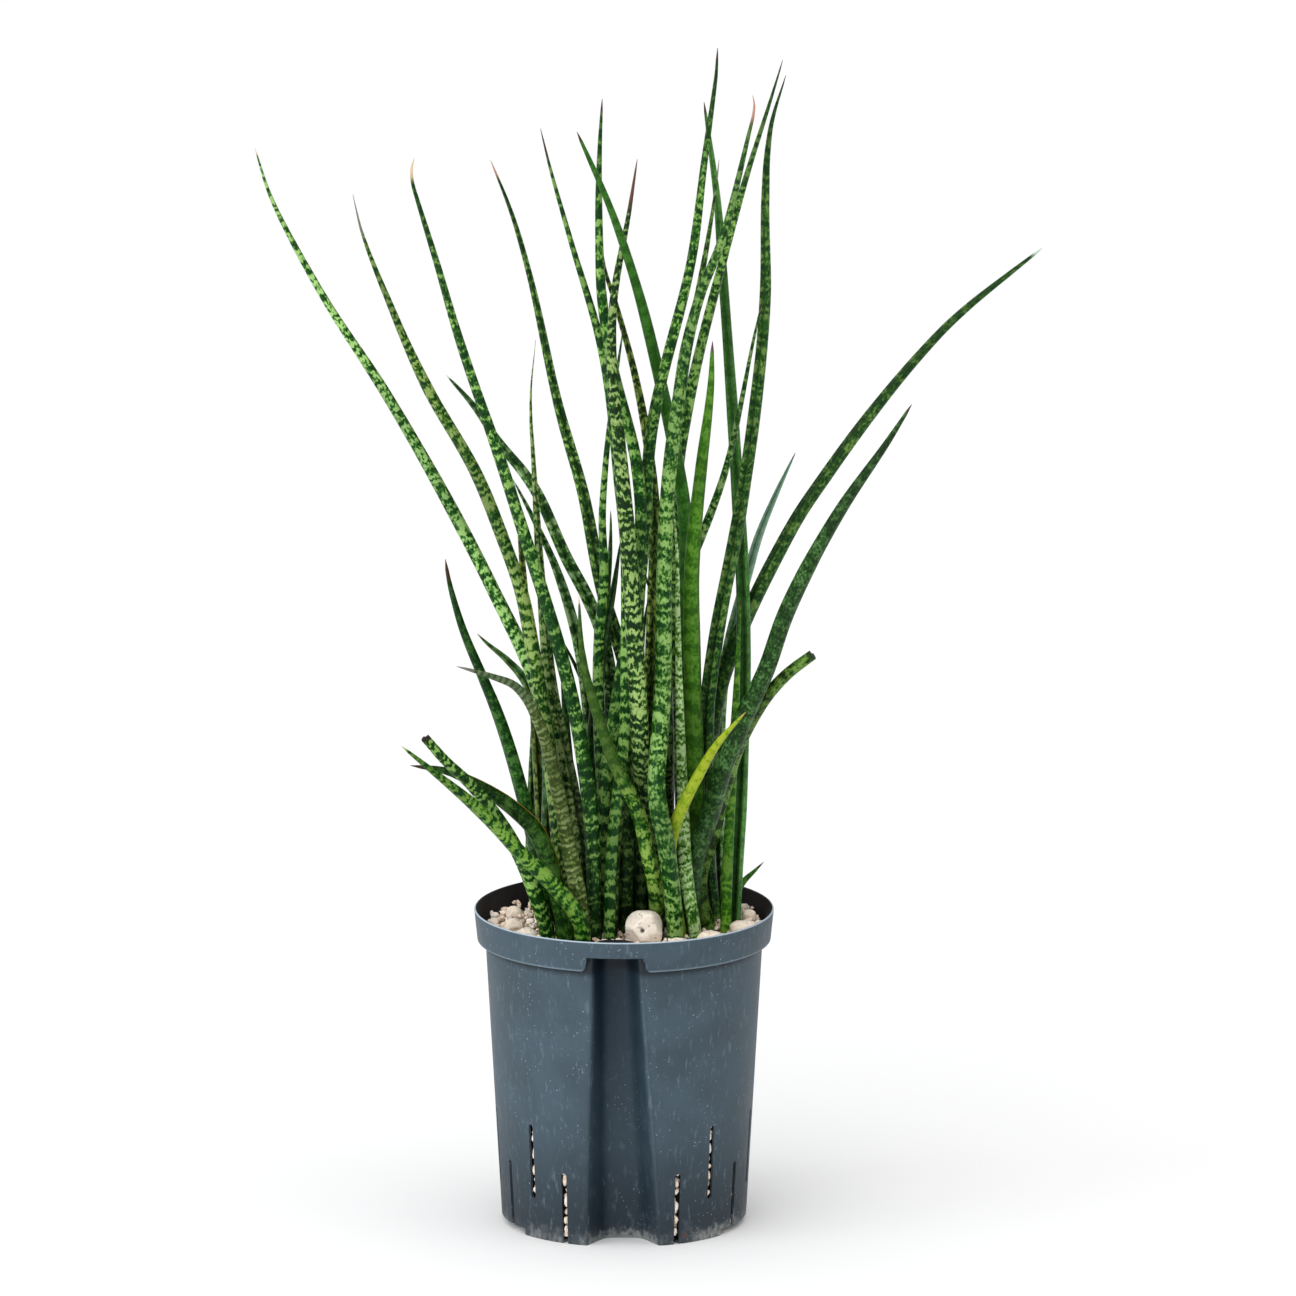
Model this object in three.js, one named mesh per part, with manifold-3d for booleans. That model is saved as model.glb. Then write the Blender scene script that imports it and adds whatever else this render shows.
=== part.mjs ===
// A fernwood snake plant in a tall nursery pot filled with pumice.
// Millimetres, +Z up. The origin is the centre of the pot's foot, and the front is -Y.

import * as THREE from 'three';
import { mergeVertices } from 'three/addons/utils/BufferGeometryUtils.js';
import Module from 'manifold-3d';

const wasm = await Module();
wasm.setup();

// Clearance between pieces that touch
const GAP = 0.3;

// Pot: a thin tapered wall under a stepped rim band
const POT_HEIGHT = 192;
const WALL = 1.6;
const FLOOR = 1.8;
const FOOT_RADIUS = 73.3;
const SHOULDER_RADIUS = 83.3;
const BAND_HEIGHT = 19;
const BAND_RADIUS = 88.2;
const RIM_RADIUS = 90;
const LIP_ROUND = 0.9;
const POT_SIDES = 60;
const SHOULDER = POT_HEIGHT - BAND_HEIGHT;
const ABOVE = 4;

// Gauge channel: an upright groove in the front of the wall. The pairs give its middle, half its
// mouth, half its flat back, its depth and its rounds at the foot and at the shoulder.
const CHANNEL_X = [-0.5, -5];
const CHANNEL_HALF = [24, 16.5];
const CHANNEL_FLAT = [6, 3.5];
const CHANNEL_DEPTH = [19, 20];
const CHANNEL_LIP = [4.5, 4];
const CHANNEL_CORNER = [8, 6];
const CHANNEL_REACH = 16;
const CHANNEL_CEILING = 185.4;
const CHANNEL_FACETS = 3;
const NOTCH_HALF = 18;
const NOTCH_TOP = 182;
const NOTCH_CORNER = 5;

// Drain slots: on each side of the channel they are by turns open at the foot and closed
const SLOT_STEP = 18;
const SLOT_FIRST = 25.4;
const SLOT_COUNT = 18;
const SLOT_WIDTH = 3.6;
const SLOT_INNER_RADIUS = 62;
const OPEN_SLOT_TOP = 44;
const CLOSED_SLOT = [25, 71];

// Feet: the wall's lower edge steps up between its lobes
const STEP_HEIGHT = 4;
const STEP_RADIUS = 66;
const STEP_SECTORS = [[52, 126], [162, 196], [232, 306]];

// Substrate: pumice with coarse granules standing out of its top
const SURFACE = POT_HEIGHT - 10;
const GRANULE_COUNT = 118;
const GRANULE_FIELD = 79;
const GRANULE_RADIUS = [5.5, 8.5];
const GRANULE_DEPTH = [0.75, 1];
const GRANULE_HEIGHT = 0.75;
const GRANULE_SINK = 0.5;
const GRANULE_STRAY = 1.5;
const GRANULE_ROUGH = 0.25;
const GRANULE_CLEAR = 0.6;
const GRANULE_TOP = 16;
const GOLDEN_ANGLE = 2.39996;

// Rhizome: a crown under each shoot, with a flat top that the leaves stand on. Its profile is
// given in shares of its radius and depths under its top.
const LEAF_SINK = 30;
const LEAF_FOOT = SURFACE - LEAF_SINK;
const CROWN_PROFILE = [[0, 16], [0.55, 13], [1, 5], [0.94, 0], [0, 0]];
const CROWN_SIDES = 12;
const STEM_RADIUS = 7;
const STEM_DEPTH = 9;
const STEM_SIDES = 6;
const STEM_LINKS = [['left', 'front'], ['front', 'centre'], ['centre', 'back'],
  ['centre', 'right']];
const ROOTS_EACH = 2;
const ROOT_RADIUS = [2.6, 1];
const ROOT_REACH = [6, 16];
const ROOT_BOTTOM = [34, 60];
const ROOT_GATHER = 0.8;
const ROOT_STEPS = 3;
const ROOT_SIDES = 5;

// Leaves: subcylindrical, channelled on the side that faces the middle of their shoot
const SIGHT = Math.tan(THREE.MathUtils.degToRad(13.4));
const SAMPLE = 6;
const CURVE_TOLERANCE = 1;
const FOOT_STRAIGHT = 2;
const SWELL = 0.15;
const FOOT_WIDTH = 0.92;
const TIP_WIDTH = 0.55;
const TAPER = [200, 0.45];
const TIP_RINGS = [75, 26, 7];
const GROOVE_LEAN = 1 / 60;
const LEAF_CLEAR = 1.8;
const TOUCH = 0.02;
const EASE_PASSES = 260;
const EASE_REACH = 65;
const FOOT_LIMIT = 70;
const RIM_CLEAR = 84.5;
const RIM_MARGIN = 2;

const POT_COLOR = 0x2b3238;
const PUMICE_COLOR = 0xcdb9a0;
const STONE_COLOR = 0xd9c6ac;
const RHIZOME_COLOR = 0xb98a55;
const TONES = {
  mottled: 0x4f7a34,
  bright: 0x5f9a2e,
  dark: 0x2c5423,
  olive: 0x6f7c33,
  lime: 0x9aab35,
  pale: 0x6f9a72,
  blue: 0x4b7b62,
};

// The shoots, each with its crown, [x, y, radius], and one row a leaf.
// foot: [x, y] where the leaf leaves the substrate.
// depth: y at even steps from there to the tip, negative in front of the pot's axis.
// width: across its widest part. A blunt leaf ends in a cut, any other in a point.
// taper: the length of its pointed end, and the power of the curve that it narrows by.
// path: the points that it passes, [x, height over the substrate], in a front view taken from
// 13.4 degrees above level.
const SHOOTS = {
  left: { crown: [-43, -12, 27], leaves: [
    { foot: [-36, -14], depth: [-8, 10], width: 10.3, tone: 'mottled',
      path: [[-49, 135], [-59, 162], [-75, 199], [-109, 267], [-145, 331], [-179, 385],
        [-211, 447], [-221, 478]] },
    { foot: [-37, -28], depth: [-34, -40], width: 9.7, tone: 'mottled',
      taper: [130, 0.7],
      path: [[-41, 27], [-47, 95], [-54, 152], [-58, 190], [-69, 227], [-90, 281], [-121, 337],
        [-144, 392], [-157, 427], [-162, 449]] },
    { foot: [-47, -20], depth: [-20, -20], width: 9.4, tone: 'dark',
      taper: [100, 0.33],
      path: [[-52, 27], [-60, 75], [-68, 104], [-80, 141], [-91, 166], [-98, 186], [-105, 212],
        [-107, 225]] },
    { foot: [-46, -38], depth: [-64, -96], width: 9.7, tone: 'mottled', blunt: true,
      path: [[-50, 10], [-57, 25], [-64, 41], [-73, 61], [-89, 83], [-107, 101], [-119, 115]] },
    { foot: [-35, -45], depth: [-54, -74], width: 11.9, tone: 'lime',
      taper: [60, 0.5],
      path: [[-40, 18], [-46, 40], [-52, 56], [-65, 70], [-83, 83], [-105, 94], [-128, 98]] },
    { foot: [-44, -3], depth: [2, 10], width: 8.6, tone: 'blue',
      taper: [40, 0.5],
      path: [[-46, 50], [-47, 114], [-55, 141], [-66, 159], [-77, 168], [-88, 179]] },
    { foot: [-48, 11], depth: [15, 20], width: 7.6, tone: 'olive',
      taper: [120, 0.5],
      path: [[-50, 70], [-58, 188], [-62, 231], [-65, 262], [-74, 289]] },
    { foot: [-52, 30], depth: [32, 38], width: 8.6, tone: 'dark',
      taper: [60, 0.5],
      path: [[-55, 27], [-54, 101], [-53, 169]] },
  ] },
  front: { crown: [-15, -24, 26], leaves: [
    { foot: [-18, -37], depth: [-50, -70], width: 9.2, tone: 'bright',
      taper: [180, 0.38],
      path: [[-19, 27], [-23, 95], [-38, 152], [-52, 206], [-69, 270], [-83, 315], [-103, 375],
        [-116, 423], [-127, 461], [-125, 471]] },
    { foot: [-25, -56], depth: [-80, -110], width: 10.3, tone: 'mottled',
      taper: [60, 0.5],
      path: [[-26, 0], [-35, 15], [-46, 28], [-64, 46], [-82, 66], [-103, 85], [-121, 100],
        [-133, 110]] },
    { foot: [-25, -47], depth: [-66, -90], width: 9.7, tone: 'olive',
      taper: [60, 0.5],
      path: [[-28, 20], [-34, 51], [-40, 81], [-46, 109], [-52, 127], [-64, 146], [-83, 154],
        [-100, 159]] },
    { foot: [-8, -41], depth: [-40, -34, -2, 20], width: 9.7, tone: 'mottled',
      taper: [220, 0.5],
      path: [[-8, 24], [-4, 70], [1, 117], [2, 175], [1, 237], [-5, 292], [-13, 353], [-26, 400],
        [-44, 465], [-50, 490]] },
    { foot: [-12, -26], depth: [-24, -27, -16, -5], width: 9.7, tone: 'mottled',
      taper: [120, 0.45],
      path: [[-14, 27], [-11, 86], [-3, 144], [5, 194], [10, 262], [5, 296], [-7, 345],
        [-13, 385], [-15, 459], [-13, 508]] },
    { foot: [-27, -20], depth: [6, 30], width: 10.4, tone: 'mottled',
      taper: [235, 0.8],
      path: [[-25, 30], [-32, 83], [-37, 107], [-43, 138], [-49, 200], [-52, 253], [-56, 323],
        [-53, 360]] },
    { foot: [1, -15], depth: [-17, -16, -16, -12], width: 9.7, tone: 'mottled',
      taper: [160, 0.4],
      path: [[2, 46], [4, 101], [8, 194], [13, 249], [16, 299], [25, 339], [36, 387], [44, 431],
        [50, 487], [55, 521], [56, 539]] },
    { foot: [-20, -12], depth: [4, 24], width: 9.7, tone: 'dark',
      taper: [80, 0.5],
      path: [[-19, 89], [-18, 120], [-13, 169], [-5, 215], [-2, 237]] },
    { foot: [-4, 4], depth: [26, 70], width: 9.7, tone: 'dark',
      taper: [60, 0.5],
      path: [[-6, 90], [-11, 169], [-22, 201], [-40, 236], [-56, 272], [-73, 294], [-92, 322],
        [-107, 339]] },
    { foot: [-16, 2], depth: [16, 50], width: 8.6, tone: 'pale',
      taper: [80, 0.5],
      path: [[-17, 89], [-22, 135], [-28, 175], [-40, 217], [-53, 247], [-67, 275]] },
  ] },
  centre: { crown: [12, 4, 26], leaves: [
    { foot: [24, -21], depth: [-46, -56, -40, 0], width: 11.9, tone: 'mottled',
      taper: [220, 0.5],
      path: [[22, 33], [14, 70], [10, 114], [7, 172], [3, 231], [-2, 289], [-7, 342], [-6, 385],
        [2, 431], [8, 471]] },
    { foot: [19, -10], depth: [-38, -57, -60, -58], width: 9.7, tone: 'olive',
      taper: [90, 0.5],
      path: [[19, 20], [13, 48], [7, 73], [-4, 95], [-12, 117], [-20, 143], [-25, 166],
        [-27, 202]] },
    { foot: [10, -4], depth: [-6, -6], width: 7.6, tone: 'pale',
      taper: [60, 0.5],
      path: [[11, 90], [10, 151], [11, 175], [14, 199]] },
    { foot: [22, 5], depth: [-6, -16], width: 8.6, tone: 'olive',
      taper: [60, 0.5],
      path: [[21, 80], [20, 169], [18, 200], [10, 221]] },
    { foot: [13, 8], depth: [30, 60], width: 9.2, tone: 'dark',
      taper: [220, 0.42],
      path: [[18, 55], [10, 111], [2, 154], [-10, 193], [-17, 225], [-25, 267], [-38, 314],
        [-53, 385], [-67, 437], [-80, 471]] },
    { foot: [17, 22], depth: [24, 10], width: 9.2, tone: 'mottled',
      taper: [220, 0.6],
      path: [[16, 151], [18, 215], [18, 259], [13, 299], [6, 341], [-4, 379], [-13, 411],
        [-14, 456]] },
    { foot: [-9, -8], depth: [-8, 16], width: 8.6, tone: 'mottled',
      path: [[-14, 132], [-15, 175], [-12, 212], [-13, 250], [-9, 305], [-4, 342], [0, 370]] },
    { foot: [6, 19], depth: [20, 24], width: 7.6, tone: 'dark',
      taper: [100, 0.5],
      path: [[-6, 70], [-13, 120], [-19, 135], [-26, 152], [-32, 165], [-40, 180]] },
    { foot: [-5, 24], depth: [33, 38], width: 7, tone: 'blue',
      taper: [60, 0.5],
      path: [[-10, 120], [-11, 194], [-8, 237], [-8, 255]] },
  ] },
  right: { crown: [47, -6, 28], leaves: [
    { foot: [31, -39], depth: [-46, -12], width: 10.8, tone: 'mottled',
      path: [[29, 21], [24, 58], [20, 77], [23, 138], [24, 200], [26, 262], [31, 304], [36, 347],
        [47, 391], [59, 422], [73, 479], [78, 503], [77, 510]] },
    { foot: [43, -27], depth: [-32, -36], width: 8.1, tone: 'pale',
      taper: [200, 0.5],
      path: [[37, 33], [35, 83], [33, 138], [32, 200], [31, 243], [29, 259]] },
    { foot: [33, -28], depth: [-45, -80], width: 9.2, tone: 'lime',
      taper: [45, 0.5],
      path: [[27, 40], [30, 59], [41, 85], [49, 99], [58, 114], [73, 131]] },
    { foot: [40, -14], depth: [-44, -66], width: 12.8, tone: 'blue',
      taper: [110, 0.45],
      path: [[42, 38], [49, 59], [58, 92], [71, 125], [85, 156], [97, 191], [115, 229],
        [139, 270], [161, 302], [172, 320]] },
    { foot: [50, -8], depth: [-18, -40], width: 11.6, tone: 'dark', blunt: true,
      path: [[44, 23], [50, 45], [59, 80], [68, 109], [80, 132], [90, 146], [100, 156],
        [113, 166]] },
    { foot: [41, 4], depth: [-16, -35], width: 14, tone: 'bright',
      taper: [100, 0.42],
      path: [[43, 66], [42, 115], [41, 169], [41, 223], [44, 258], [49, 305], [52, 331],
        [53, 359]] },
    { foot: [54, 3], depth: [12, 34], width: 9.7, tone: 'mottled',
      taper: [110, 0.6],
      path: [[50, 46], [49, 100], [51, 144], [60, 203], [71, 262], [80, 329], [85, 391],
        [85, 453], [88, 491], [97, 523]] },
    { foot: [61, -9], depth: [-2, 10], width: 8.6, tone: 'bright',
      taper: [90, 0.5],
      path: [[62, 22], [64, 69], [66, 110], [67, 138], [70, 200]] },
    { foot: [66, 4], depth: [34, 70], width: 9.7, tone: 'blue',
      taper: [120, 0.4],
      path: [[68, 27], [70, 114], [72, 175], [70, 243], [65, 308], [62, 355], [59, 402],
        [56, 447], [48, 507]] },
    { foot: [52, 18], depth: [40, 60], width: 10.3, tone: 'mottled',
      taper: [180, 0.35],
      path: [[50, 90], [56, 138], [64, 165], [79, 199], [101, 245], [130, 289], [161, 331],
        [196, 371], [225, 396], [251, 417]] },
    { foot: [57, 28], depth: [54, 90], width: 8.6, tone: 'pale',
      taper: [70, 0.5],
      path: [[57, 110], [62, 166], [70, 197], [79, 233], [90, 262], [103, 291]] },
  ] },
  back: { crown: [20, 34, 30], leaves: [
    { foot: [42, 16], depth: [14, 8, -10, -60], width: 10.3, tone: 'bright',
      taper: [150, 0.35],
      path: [[40, 101], [37, 200], [37, 246], [28, 305], [20, 342], [8, 391], [-8, 440],
        [-28, 487]] },
    { foot: [25, 38], depth: [43, 44, 42, 40], width: 8.6, tone: 'dark',
      taper: [130, 0.6],
      path: [[27, 150], [27, 240], [29, 299], [38, 357], [47, 402], [55, 453], [57, 471]] },
    { foot: [37, 30], depth: [26, 24, 14, 5], width: 9.7, tone: 'mottled',
      taper: [180, 0.5],
      path: [[33, 150], [30, 240], [34, 295], [42, 334], [55, 391], [68, 442], [79, 479],
        [91, 518], [95, 532]] },
    { foot: [27, 24], depth: [31, 34, 24, 5], width: 8.1, tone: 'mottled',
      path: [[26, 120], [26, 188], [40, 223], [52, 255], [64, 291], [72, 333], [83, 385]] },
    { foot: [61, 36], depth: [38, 42], width: 7.6, tone: 'olive',
      taper: [30, 0.5],
      path: [[69, 22], [74, 29], [79, 33], [84, 38]] },
    { foot: [-14, 40], depth: [46, 48], width: 8.6, tone: 'dark',
      taper: [60, 0.5],
      path: [[-13, 80], [-10, 150], [-8, 200]] },
    { foot: [8, 44], depth: [45, 46], width: 8.6, tone: 'dark',
      taper: [60, 0.5],
      path: [[7, 80], [9, 169]] },
    { foot: [24, 50], depth: [52, 54], width: 8.6, tone: 'dark',
      taper: [60, 0.5],
      path: [[27, 90], [29, 175]] },
    { foot: [-32, 34], depth: [38, 42], width: 8.6, tone: 'dark',
      taper: [60, 0.5],
      path: [[-33, 90], [-38, 170]] },
  ] },
};

// Loose stones bedded in the top: centre [x, y], size [width, depth, height], turn in degrees, and
// the share that is sunk where it differs
const STONES = [
  { centre: [12, -47], size: [25, 17, 22], turn: 10, sink: 0.1 },
  { centre: [33, -61], size: [15, 10, 9], turn: -20 },
  { centre: [51, -51], size: [18, 12, 12], turn: 15 },
  { centre: [72, -20], size: [20, 9, 9], turn: 30 },
  { centre: [75, 9], size: [10, 9, 9], turn: 60 },
  { centre: [-58, -37], size: [13, 11, 9], turn: 25 },
  { centre: [-66, -12], size: [12, 10, 9], turn: -15 },
  { centre: [-66, 18], size: [12, 11, 9], turn: 40 },
];
const STONE_SINK = 0.3;
const STONE_ROUGH = 0.22;

// Seeded random numbers, so that the plant comes out the same each time
function randomFrom(seed) {
  let state = seed;
  return () => {
    state = (state * 1664525 + 1013904223) % 4294967296;
    return state / 4294967296;
  };
}

function between(range, share) {
  return range[0] + (range[1] - range[0]) * share;
}

// A closed solid from a geometry: only positions count, and equal corners become one
function solidOf(geometry) {
  const bare = geometry.clone();
  for (const name of Object.keys(bare.attributes)) {
    if (name !== 'position') bare.deleteAttribute(name);
  }
  const merged = mergeVertices(bare, 1e-4);
  return new wasm.Manifold(new wasm.Mesh({
    numProp: 3,
    vertProperties: new Float32Array(merged.attributes.position.array),
    triVerts: new Uint32Array(merged.index.array),
  }));
}

function geometryOf(solid) {
  const mesh = solid.getMesh();
  const geometry = new THREE.BufferGeometry();
  geometry.setAttribute('position', new THREE.BufferAttribute(mesh.vertProperties, 3));
  geometry.setIndex(new THREE.BufferAttribute(mesh.triVerts, 1));
  geometry.computeVertexNormals();
  return geometry;
}

function union(solids) {
  return solids.reduce((whole, solid) => whole.add(solid));
}

// The largest body of a solid: loose scraps that a cut leaves are dropped
function mainBody(solid) {
  return solid.decompose().sort((a, b) => b.volume() - a.volume())[0];
}

// A solid of revolution about Z from [radius, z] points that start and end on the axis
function revolve(points, sides) {
  const lathe = new THREE.LatheGeometry(points.map(([r, z]) => new THREE.Vector2(r, z)), sides);
  return solidOf(lathe.rotateX(Math.PI / 2));
}

function extrude(shape, bottom, top, curveSegments) {
  const geometry = new THREE.ExtrudeGeometry(shape, {
    depth: top - bottom, bevelEnabled: false, curveSegments,
  });
  return geometry.translate(0, 0, bottom);
}

// A closed skin over rings of equal count. Each ring runs counter-clockwise, seen from the end
// that the rings run towards, and its first point sees all the others. With an apex the last
// ring closes in a point, otherwise in a flat face.
function loft(rings, apex = null) {
  const count = rings[0].length;
  const points = rings.flat();
  const faces = [];
  for (let ring = 0; ring + 1 < rings.length; ring++) {
    for (let i = 0; i < count; i++) {
      const a = ring * count + i;
      const b = ring * count + (i + 1) % count;
      faces.push([a, b, b + count], [a, b + count, a + count]);
    }
  }
  const last = (rings.length - 1) * count;
  for (let i = 1; i + 1 < count; i++) {
    faces.push([0, i + 1, i]);
    if (!apex) faces.push([last, last + i, last + i + 1]);
  }
  if (apex) {
    points.push(apex);
    for (let i = 0; i < count; i++) {
      faces.push([last + i, last + (i + 1) % count, points.length - 1]);
    }
  }
  const geometry = new THREE.BufferGeometry().setFromPoints(points);
  geometry.setIndex(faces.flat());
  geometry.computeVertexNormals();
  return geometry;
}

// A tapered round tube along a curve, closed at both ends
function tube(curve, steps, sides, radii) {
  const frames = curve.computeFrenetFrames(steps);
  const rings = [];
  for (let step = 0; step <= steps; step++) {
    const centre = curve.getPointAt(step / steps);
    const radius = between(radii, step / steps);
    const ring = [];
    for (let side = 0; side < sides; side++) {
      const angle = side / sides * 2 * Math.PI;
      ring.push(centre.clone()
        .addScaledVector(frames.normals[step], radius * Math.cos(angle))
        .addScaledVector(frames.binormals[step], radius * Math.sin(angle)));
    }
    rings.push(ring);
  }
  return solidOf(loft(rings));
}

// The angle on a plan, in radians, of a place so many degrees round from the front
function fromFront(degrees) {
  return THREE.MathUtils.degToRad(degrees - 90);
}

function wallRadius(z) {
  return between([FOOT_RADIUS, SHOULDER_RADIUS], Math.min(1, z / SHOULDER));
}

// How far in front of the axis the wall is at a lip of the channel: side is 1 on the right
function lipLine(side, share) {
  return between([FOOT_RADIUS, SHOULDER_RADIUS].map((radius, end) =>
    Math.sqrt(radius ** 2 - (CHANNEL_X[end] + side * CHANNEL_HALF[end]) ** 2)), share);
}

// The gauge channel's outline on a plan at a height, grown by a wall's thickness where it is cut
// from the inside: its mouth, then on each side a rounded lip, a slanted wall and a back corner
function channelRing(z, grow) {
  const share = z / SHOULDER;
  const [middle, half, flat, depth, lip, corner] = [CHANNEL_X, CHANNEL_HALF, CHANNEL_FLAT,
    CHANNEL_DEPTH, CHANNEL_LIP, CHANNEL_CORNER].map((pair) => between(pair, share));
  const right = lipLine(1, share);
  const left = lipLine(-1, share);
  const mouth = -right - CHANNEL_REACH;
  const back = depth - (left + right) / 2;
  // How far a wall slants, so that it touches the rounds at both of its ends
  const slant = (line) => {
    const across = half - flat;
    const along = back + line - lip - corner;
    return Math.acos((lip + corner) / Math.hypot(across, along)) - Math.atan2(along, across);
  };
  const shape = new THREE.Shape();
  shape.moveTo(0, mouth);
  shape.lineTo(half, mouth);
  shape.absarc(half, lip - right, lip - grow, 1.5 * Math.PI, Math.PI + slant(right), true);
  shape.absarc(flat, back - corner, corner + grow, slant(right), Math.PI / 2, false);
  shape.absarc(-flat, back - corner, corner + grow, Math.PI / 2, Math.PI - slant(left), false);
  shape.absarc(-half, lip - left, lip - grow, -slant(left), -Math.PI / 2, true);
  shape.lineTo(-half, mouth);
  return shape.getPoints(CHANNEL_FACETS).map((p) => new THREE.Vector3(middle + p.x, p.y, z));
}

function channel(grow, top) {
  return solidOf(loft([channelRing(-ABOVE, grow), channelRing(top, grow)]));
}

// The notch that shortens the rim band over the channel
function bandNotch(grow) {
  const half = NOTCH_HALF + grow;
  const top = NOTCH_TOP + grow;
  const corner = NOTCH_CORNER + grow;
  const shape = new THREE.Shape();
  shape.moveTo(-half, SHOULDER - ABOVE);
  shape.lineTo(half, SHOULDER - ABOVE);
  shape.absarc(half - corner, top - corner, corner, 0, Math.PI / 2, false);
  shape.absarc(corner - half, top - corner, corner, Math.PI / 2, Math.PI, false);
  const geometry = extrude(shape, 0, RIM_RADIUS + ABOVE, 4).rotateX(Math.PI / 2);
  return solidOf(geometry.translate(CHANNEL_X[1], 0, 0));
}

function footSteps(grow) {
  const outer = FOOT_RADIUS + ABOVE;
  return STEP_SECTORS.map(([from, to]) => {
    const widen = THREE.MathUtils.radToDeg(grow / FOOT_RADIUS);
    const start = fromFront(from - widen);
    const end = fromFront(to + widen);
    const shape = new THREE.Shape();
    shape.absarc(0, 0, outer, start, end, false);
    shape.absarc(0, 0, STEP_RADIUS - grow, end, start, true);
    return solidOf(extrude(shape, -ABOVE, STEP_HEIGHT + grow, 8));
  });
}

// The space that the pot's outside bounds, or an inset copy of it from the floor up to a top
function envelope(inset, floor, top) {
  const body = revolve([[0, floor], [wallRadius(0) - inset, floor],
    [SHOULDER_RADIUS - inset, SHOULDER], [SHOULDER_RADIUS - inset, top], [0, top]], POT_SIDES);
  const bandFoot = SHOULDER + inset;
  const profile = [[0, bandFoot], [BAND_RADIUS - inset, bandFoot]];
  if (inset === 0) {
    profile.push([RIM_RADIUS, top - 2 * LIP_ROUND], [RIM_RADIUS - LIP_ROUND / 3, top - LIP_ROUND / 2],
      [RIM_RADIUS - LIP_ROUND, top]);
  } else {
    profile.push([RIM_RADIUS - inset, Math.max(top, POT_HEIGHT)]);
  }
  profile.push([0, profile[profile.length - 1][1]]);
  const band = revolve(profile, POT_SIDES).subtract(bandNotch(inset));
  const whole = union([body, band]).trimByPlane([0, 0, -1], -top);
  return footSteps(inset).reduce((solid, step) => solid.subtract(step), whole);
}

function drainSlots() {
  const slots = [];
  for (let i = 0; i < SLOT_COUNT; i++) {
    const open = Math.min(i, SLOT_COUNT - 1 - i) % 2 === 0;
    const [bottom, top] = open ? [-ABOVE, OPEN_SLOT_TOP] : CLOSED_SLOT;
    const inner = open ? SLOT_INNER_RADIUS : FOOT_RADIUS - 2 * WALL;
    const length = RIM_RADIUS - inner;
    const box = new THREE.BoxGeometry(length, SLOT_WIDTH, top - bottom);
    box.translate(inner + length / 2, 0, (top + bottom) / 2);
    slots.push(solidOf(box.rotateZ(fromFront(SLOT_FIRST + i * SLOT_STEP))));
  }
  return union(slots);
}

function pot() {
  const inBand = revolve([[0, 0], [BAND_RADIUS - WALL, 0], [BAND_RADIUS - WALL, POT_HEIGHT],
    [0, POT_HEIGHT]], POT_SIDES);
  const outside = envelope(0, 0, POT_HEIGHT)
    .subtract(channel(0, NOTCH_TOP))
    .subtract(channel(0, CHANNEL_CEILING).intersect(inBand));
  const inside = envelope(WALL, FLOOR, POT_HEIGHT + ABOVE)
    .subtract(channel(WALL, CHANNEL_CEILING + WALL));
  return mainBody(outside.subtract(inside).subtract(drainSlots()));
}

// Samples of one leaf along its path: x, height as seen from the front, y and length so far
function sampleLeaf(name, row) {
  const [footX, footY] = row.foot;
  const points = [[footX, SIGHT * footY], ...row.path]
    .map(([x, height]) => new THREE.Vector3(x, 0, height));
  const curve = new THREE.CatmullRomCurve3(points, false, 'centripetal');
  const length = curve.getLength();
  const steps = Math.max(6, Math.round(length / SAMPLE));
  const depths = new THREE.SplineCurve([footY, ...row.depth]
    .map((y, i) => new THREE.Vector2(i, y)));
  const samples = curve.getSpacedPoints(steps).map((point, i) => {
    const share = i / steps;
    return { x: point.x, seen: point.z, y: depths.getPoint(share).y, along: share * length };
  });
  return { name, row, length, samples };
}

// Width across a leaf, at a length from its foot: it swells a little, then narrows to the tip
function leafWidth(leaf, along) {
  const { width, blunt, taper = TAPER } = leaf.row;
  const share = along / leaf.length;
  const body = width * (share < SWELL ? between([FOOT_WIDTH, 1], share / SWELL)
    : between([1, TIP_WIDTH], (share - SWELL) / (1 - SWELL)));
  if (blunt) return body;
  return body * Math.min(1, ((leaf.length - along) / taper[0]) ** taper[1]);
}

function heightOf(sample) {
  return SURFACE + sample.seen - SIGHT * sample.y;
}

// Moves a stretch of a leaf towards or away from the front, most at one place, fading both ways
function shift(leaf, at, amount) {
  for (const sample of leaf.samples) {
    const away = Math.abs(sample.along - at) / EASE_REACH;
    if (away < 1) sample.y += amount * Math.cos(away * Math.PI / 2) ** 2;
  }
}

// The deepest overlap of two leaves, or null: the push that clears it and where it acts
function worstTouch(a, b) {
  let worst = null;
  for (const p of a.samples) {
    for (const q of b.samples) {
      const need = p.radius + q.radius + LEAF_CLEAR;
      const dx = p.x - q.x;
      if (Math.abs(dx) > need) continue;
      const dz = heightOf(p) - heightOf(q);
      const flat = dx * dx + dz * dz;
      if (flat > need * need) continue;
      const push = Math.sqrt(need * need - flat) - Math.abs(p.y - q.y);
      if (push > TOUCH && (!worst || push > worst.push)) {
        worst = { push, atA: p.along, atB: q.along, side: p.y < q.y ? -1 : 1 };
      }
    }
  }
  return worst;
}

// Keeps a leaf's foot on its crown and its lower part clear of the rim
function keepInPot(leaf) {
  for (const sample of leaf.samples) {
    const limit = sample.along === 0 ? FOOT_LIMIT : RIM_CLEAR - sample.radius;
    const low = heightOf(sample) < POT_HEIGHT + sample.radius + RIM_MARGIN;
    if (low && Math.hypot(sample.x, sample.y) > limit) {
      const most = Math.sqrt(Math.max(0, limit * limit - sample.x * sample.x));
      shift(leaf, sample.along, Math.sign(sample.y) * most - sample.y);
    }
  }
}

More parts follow.
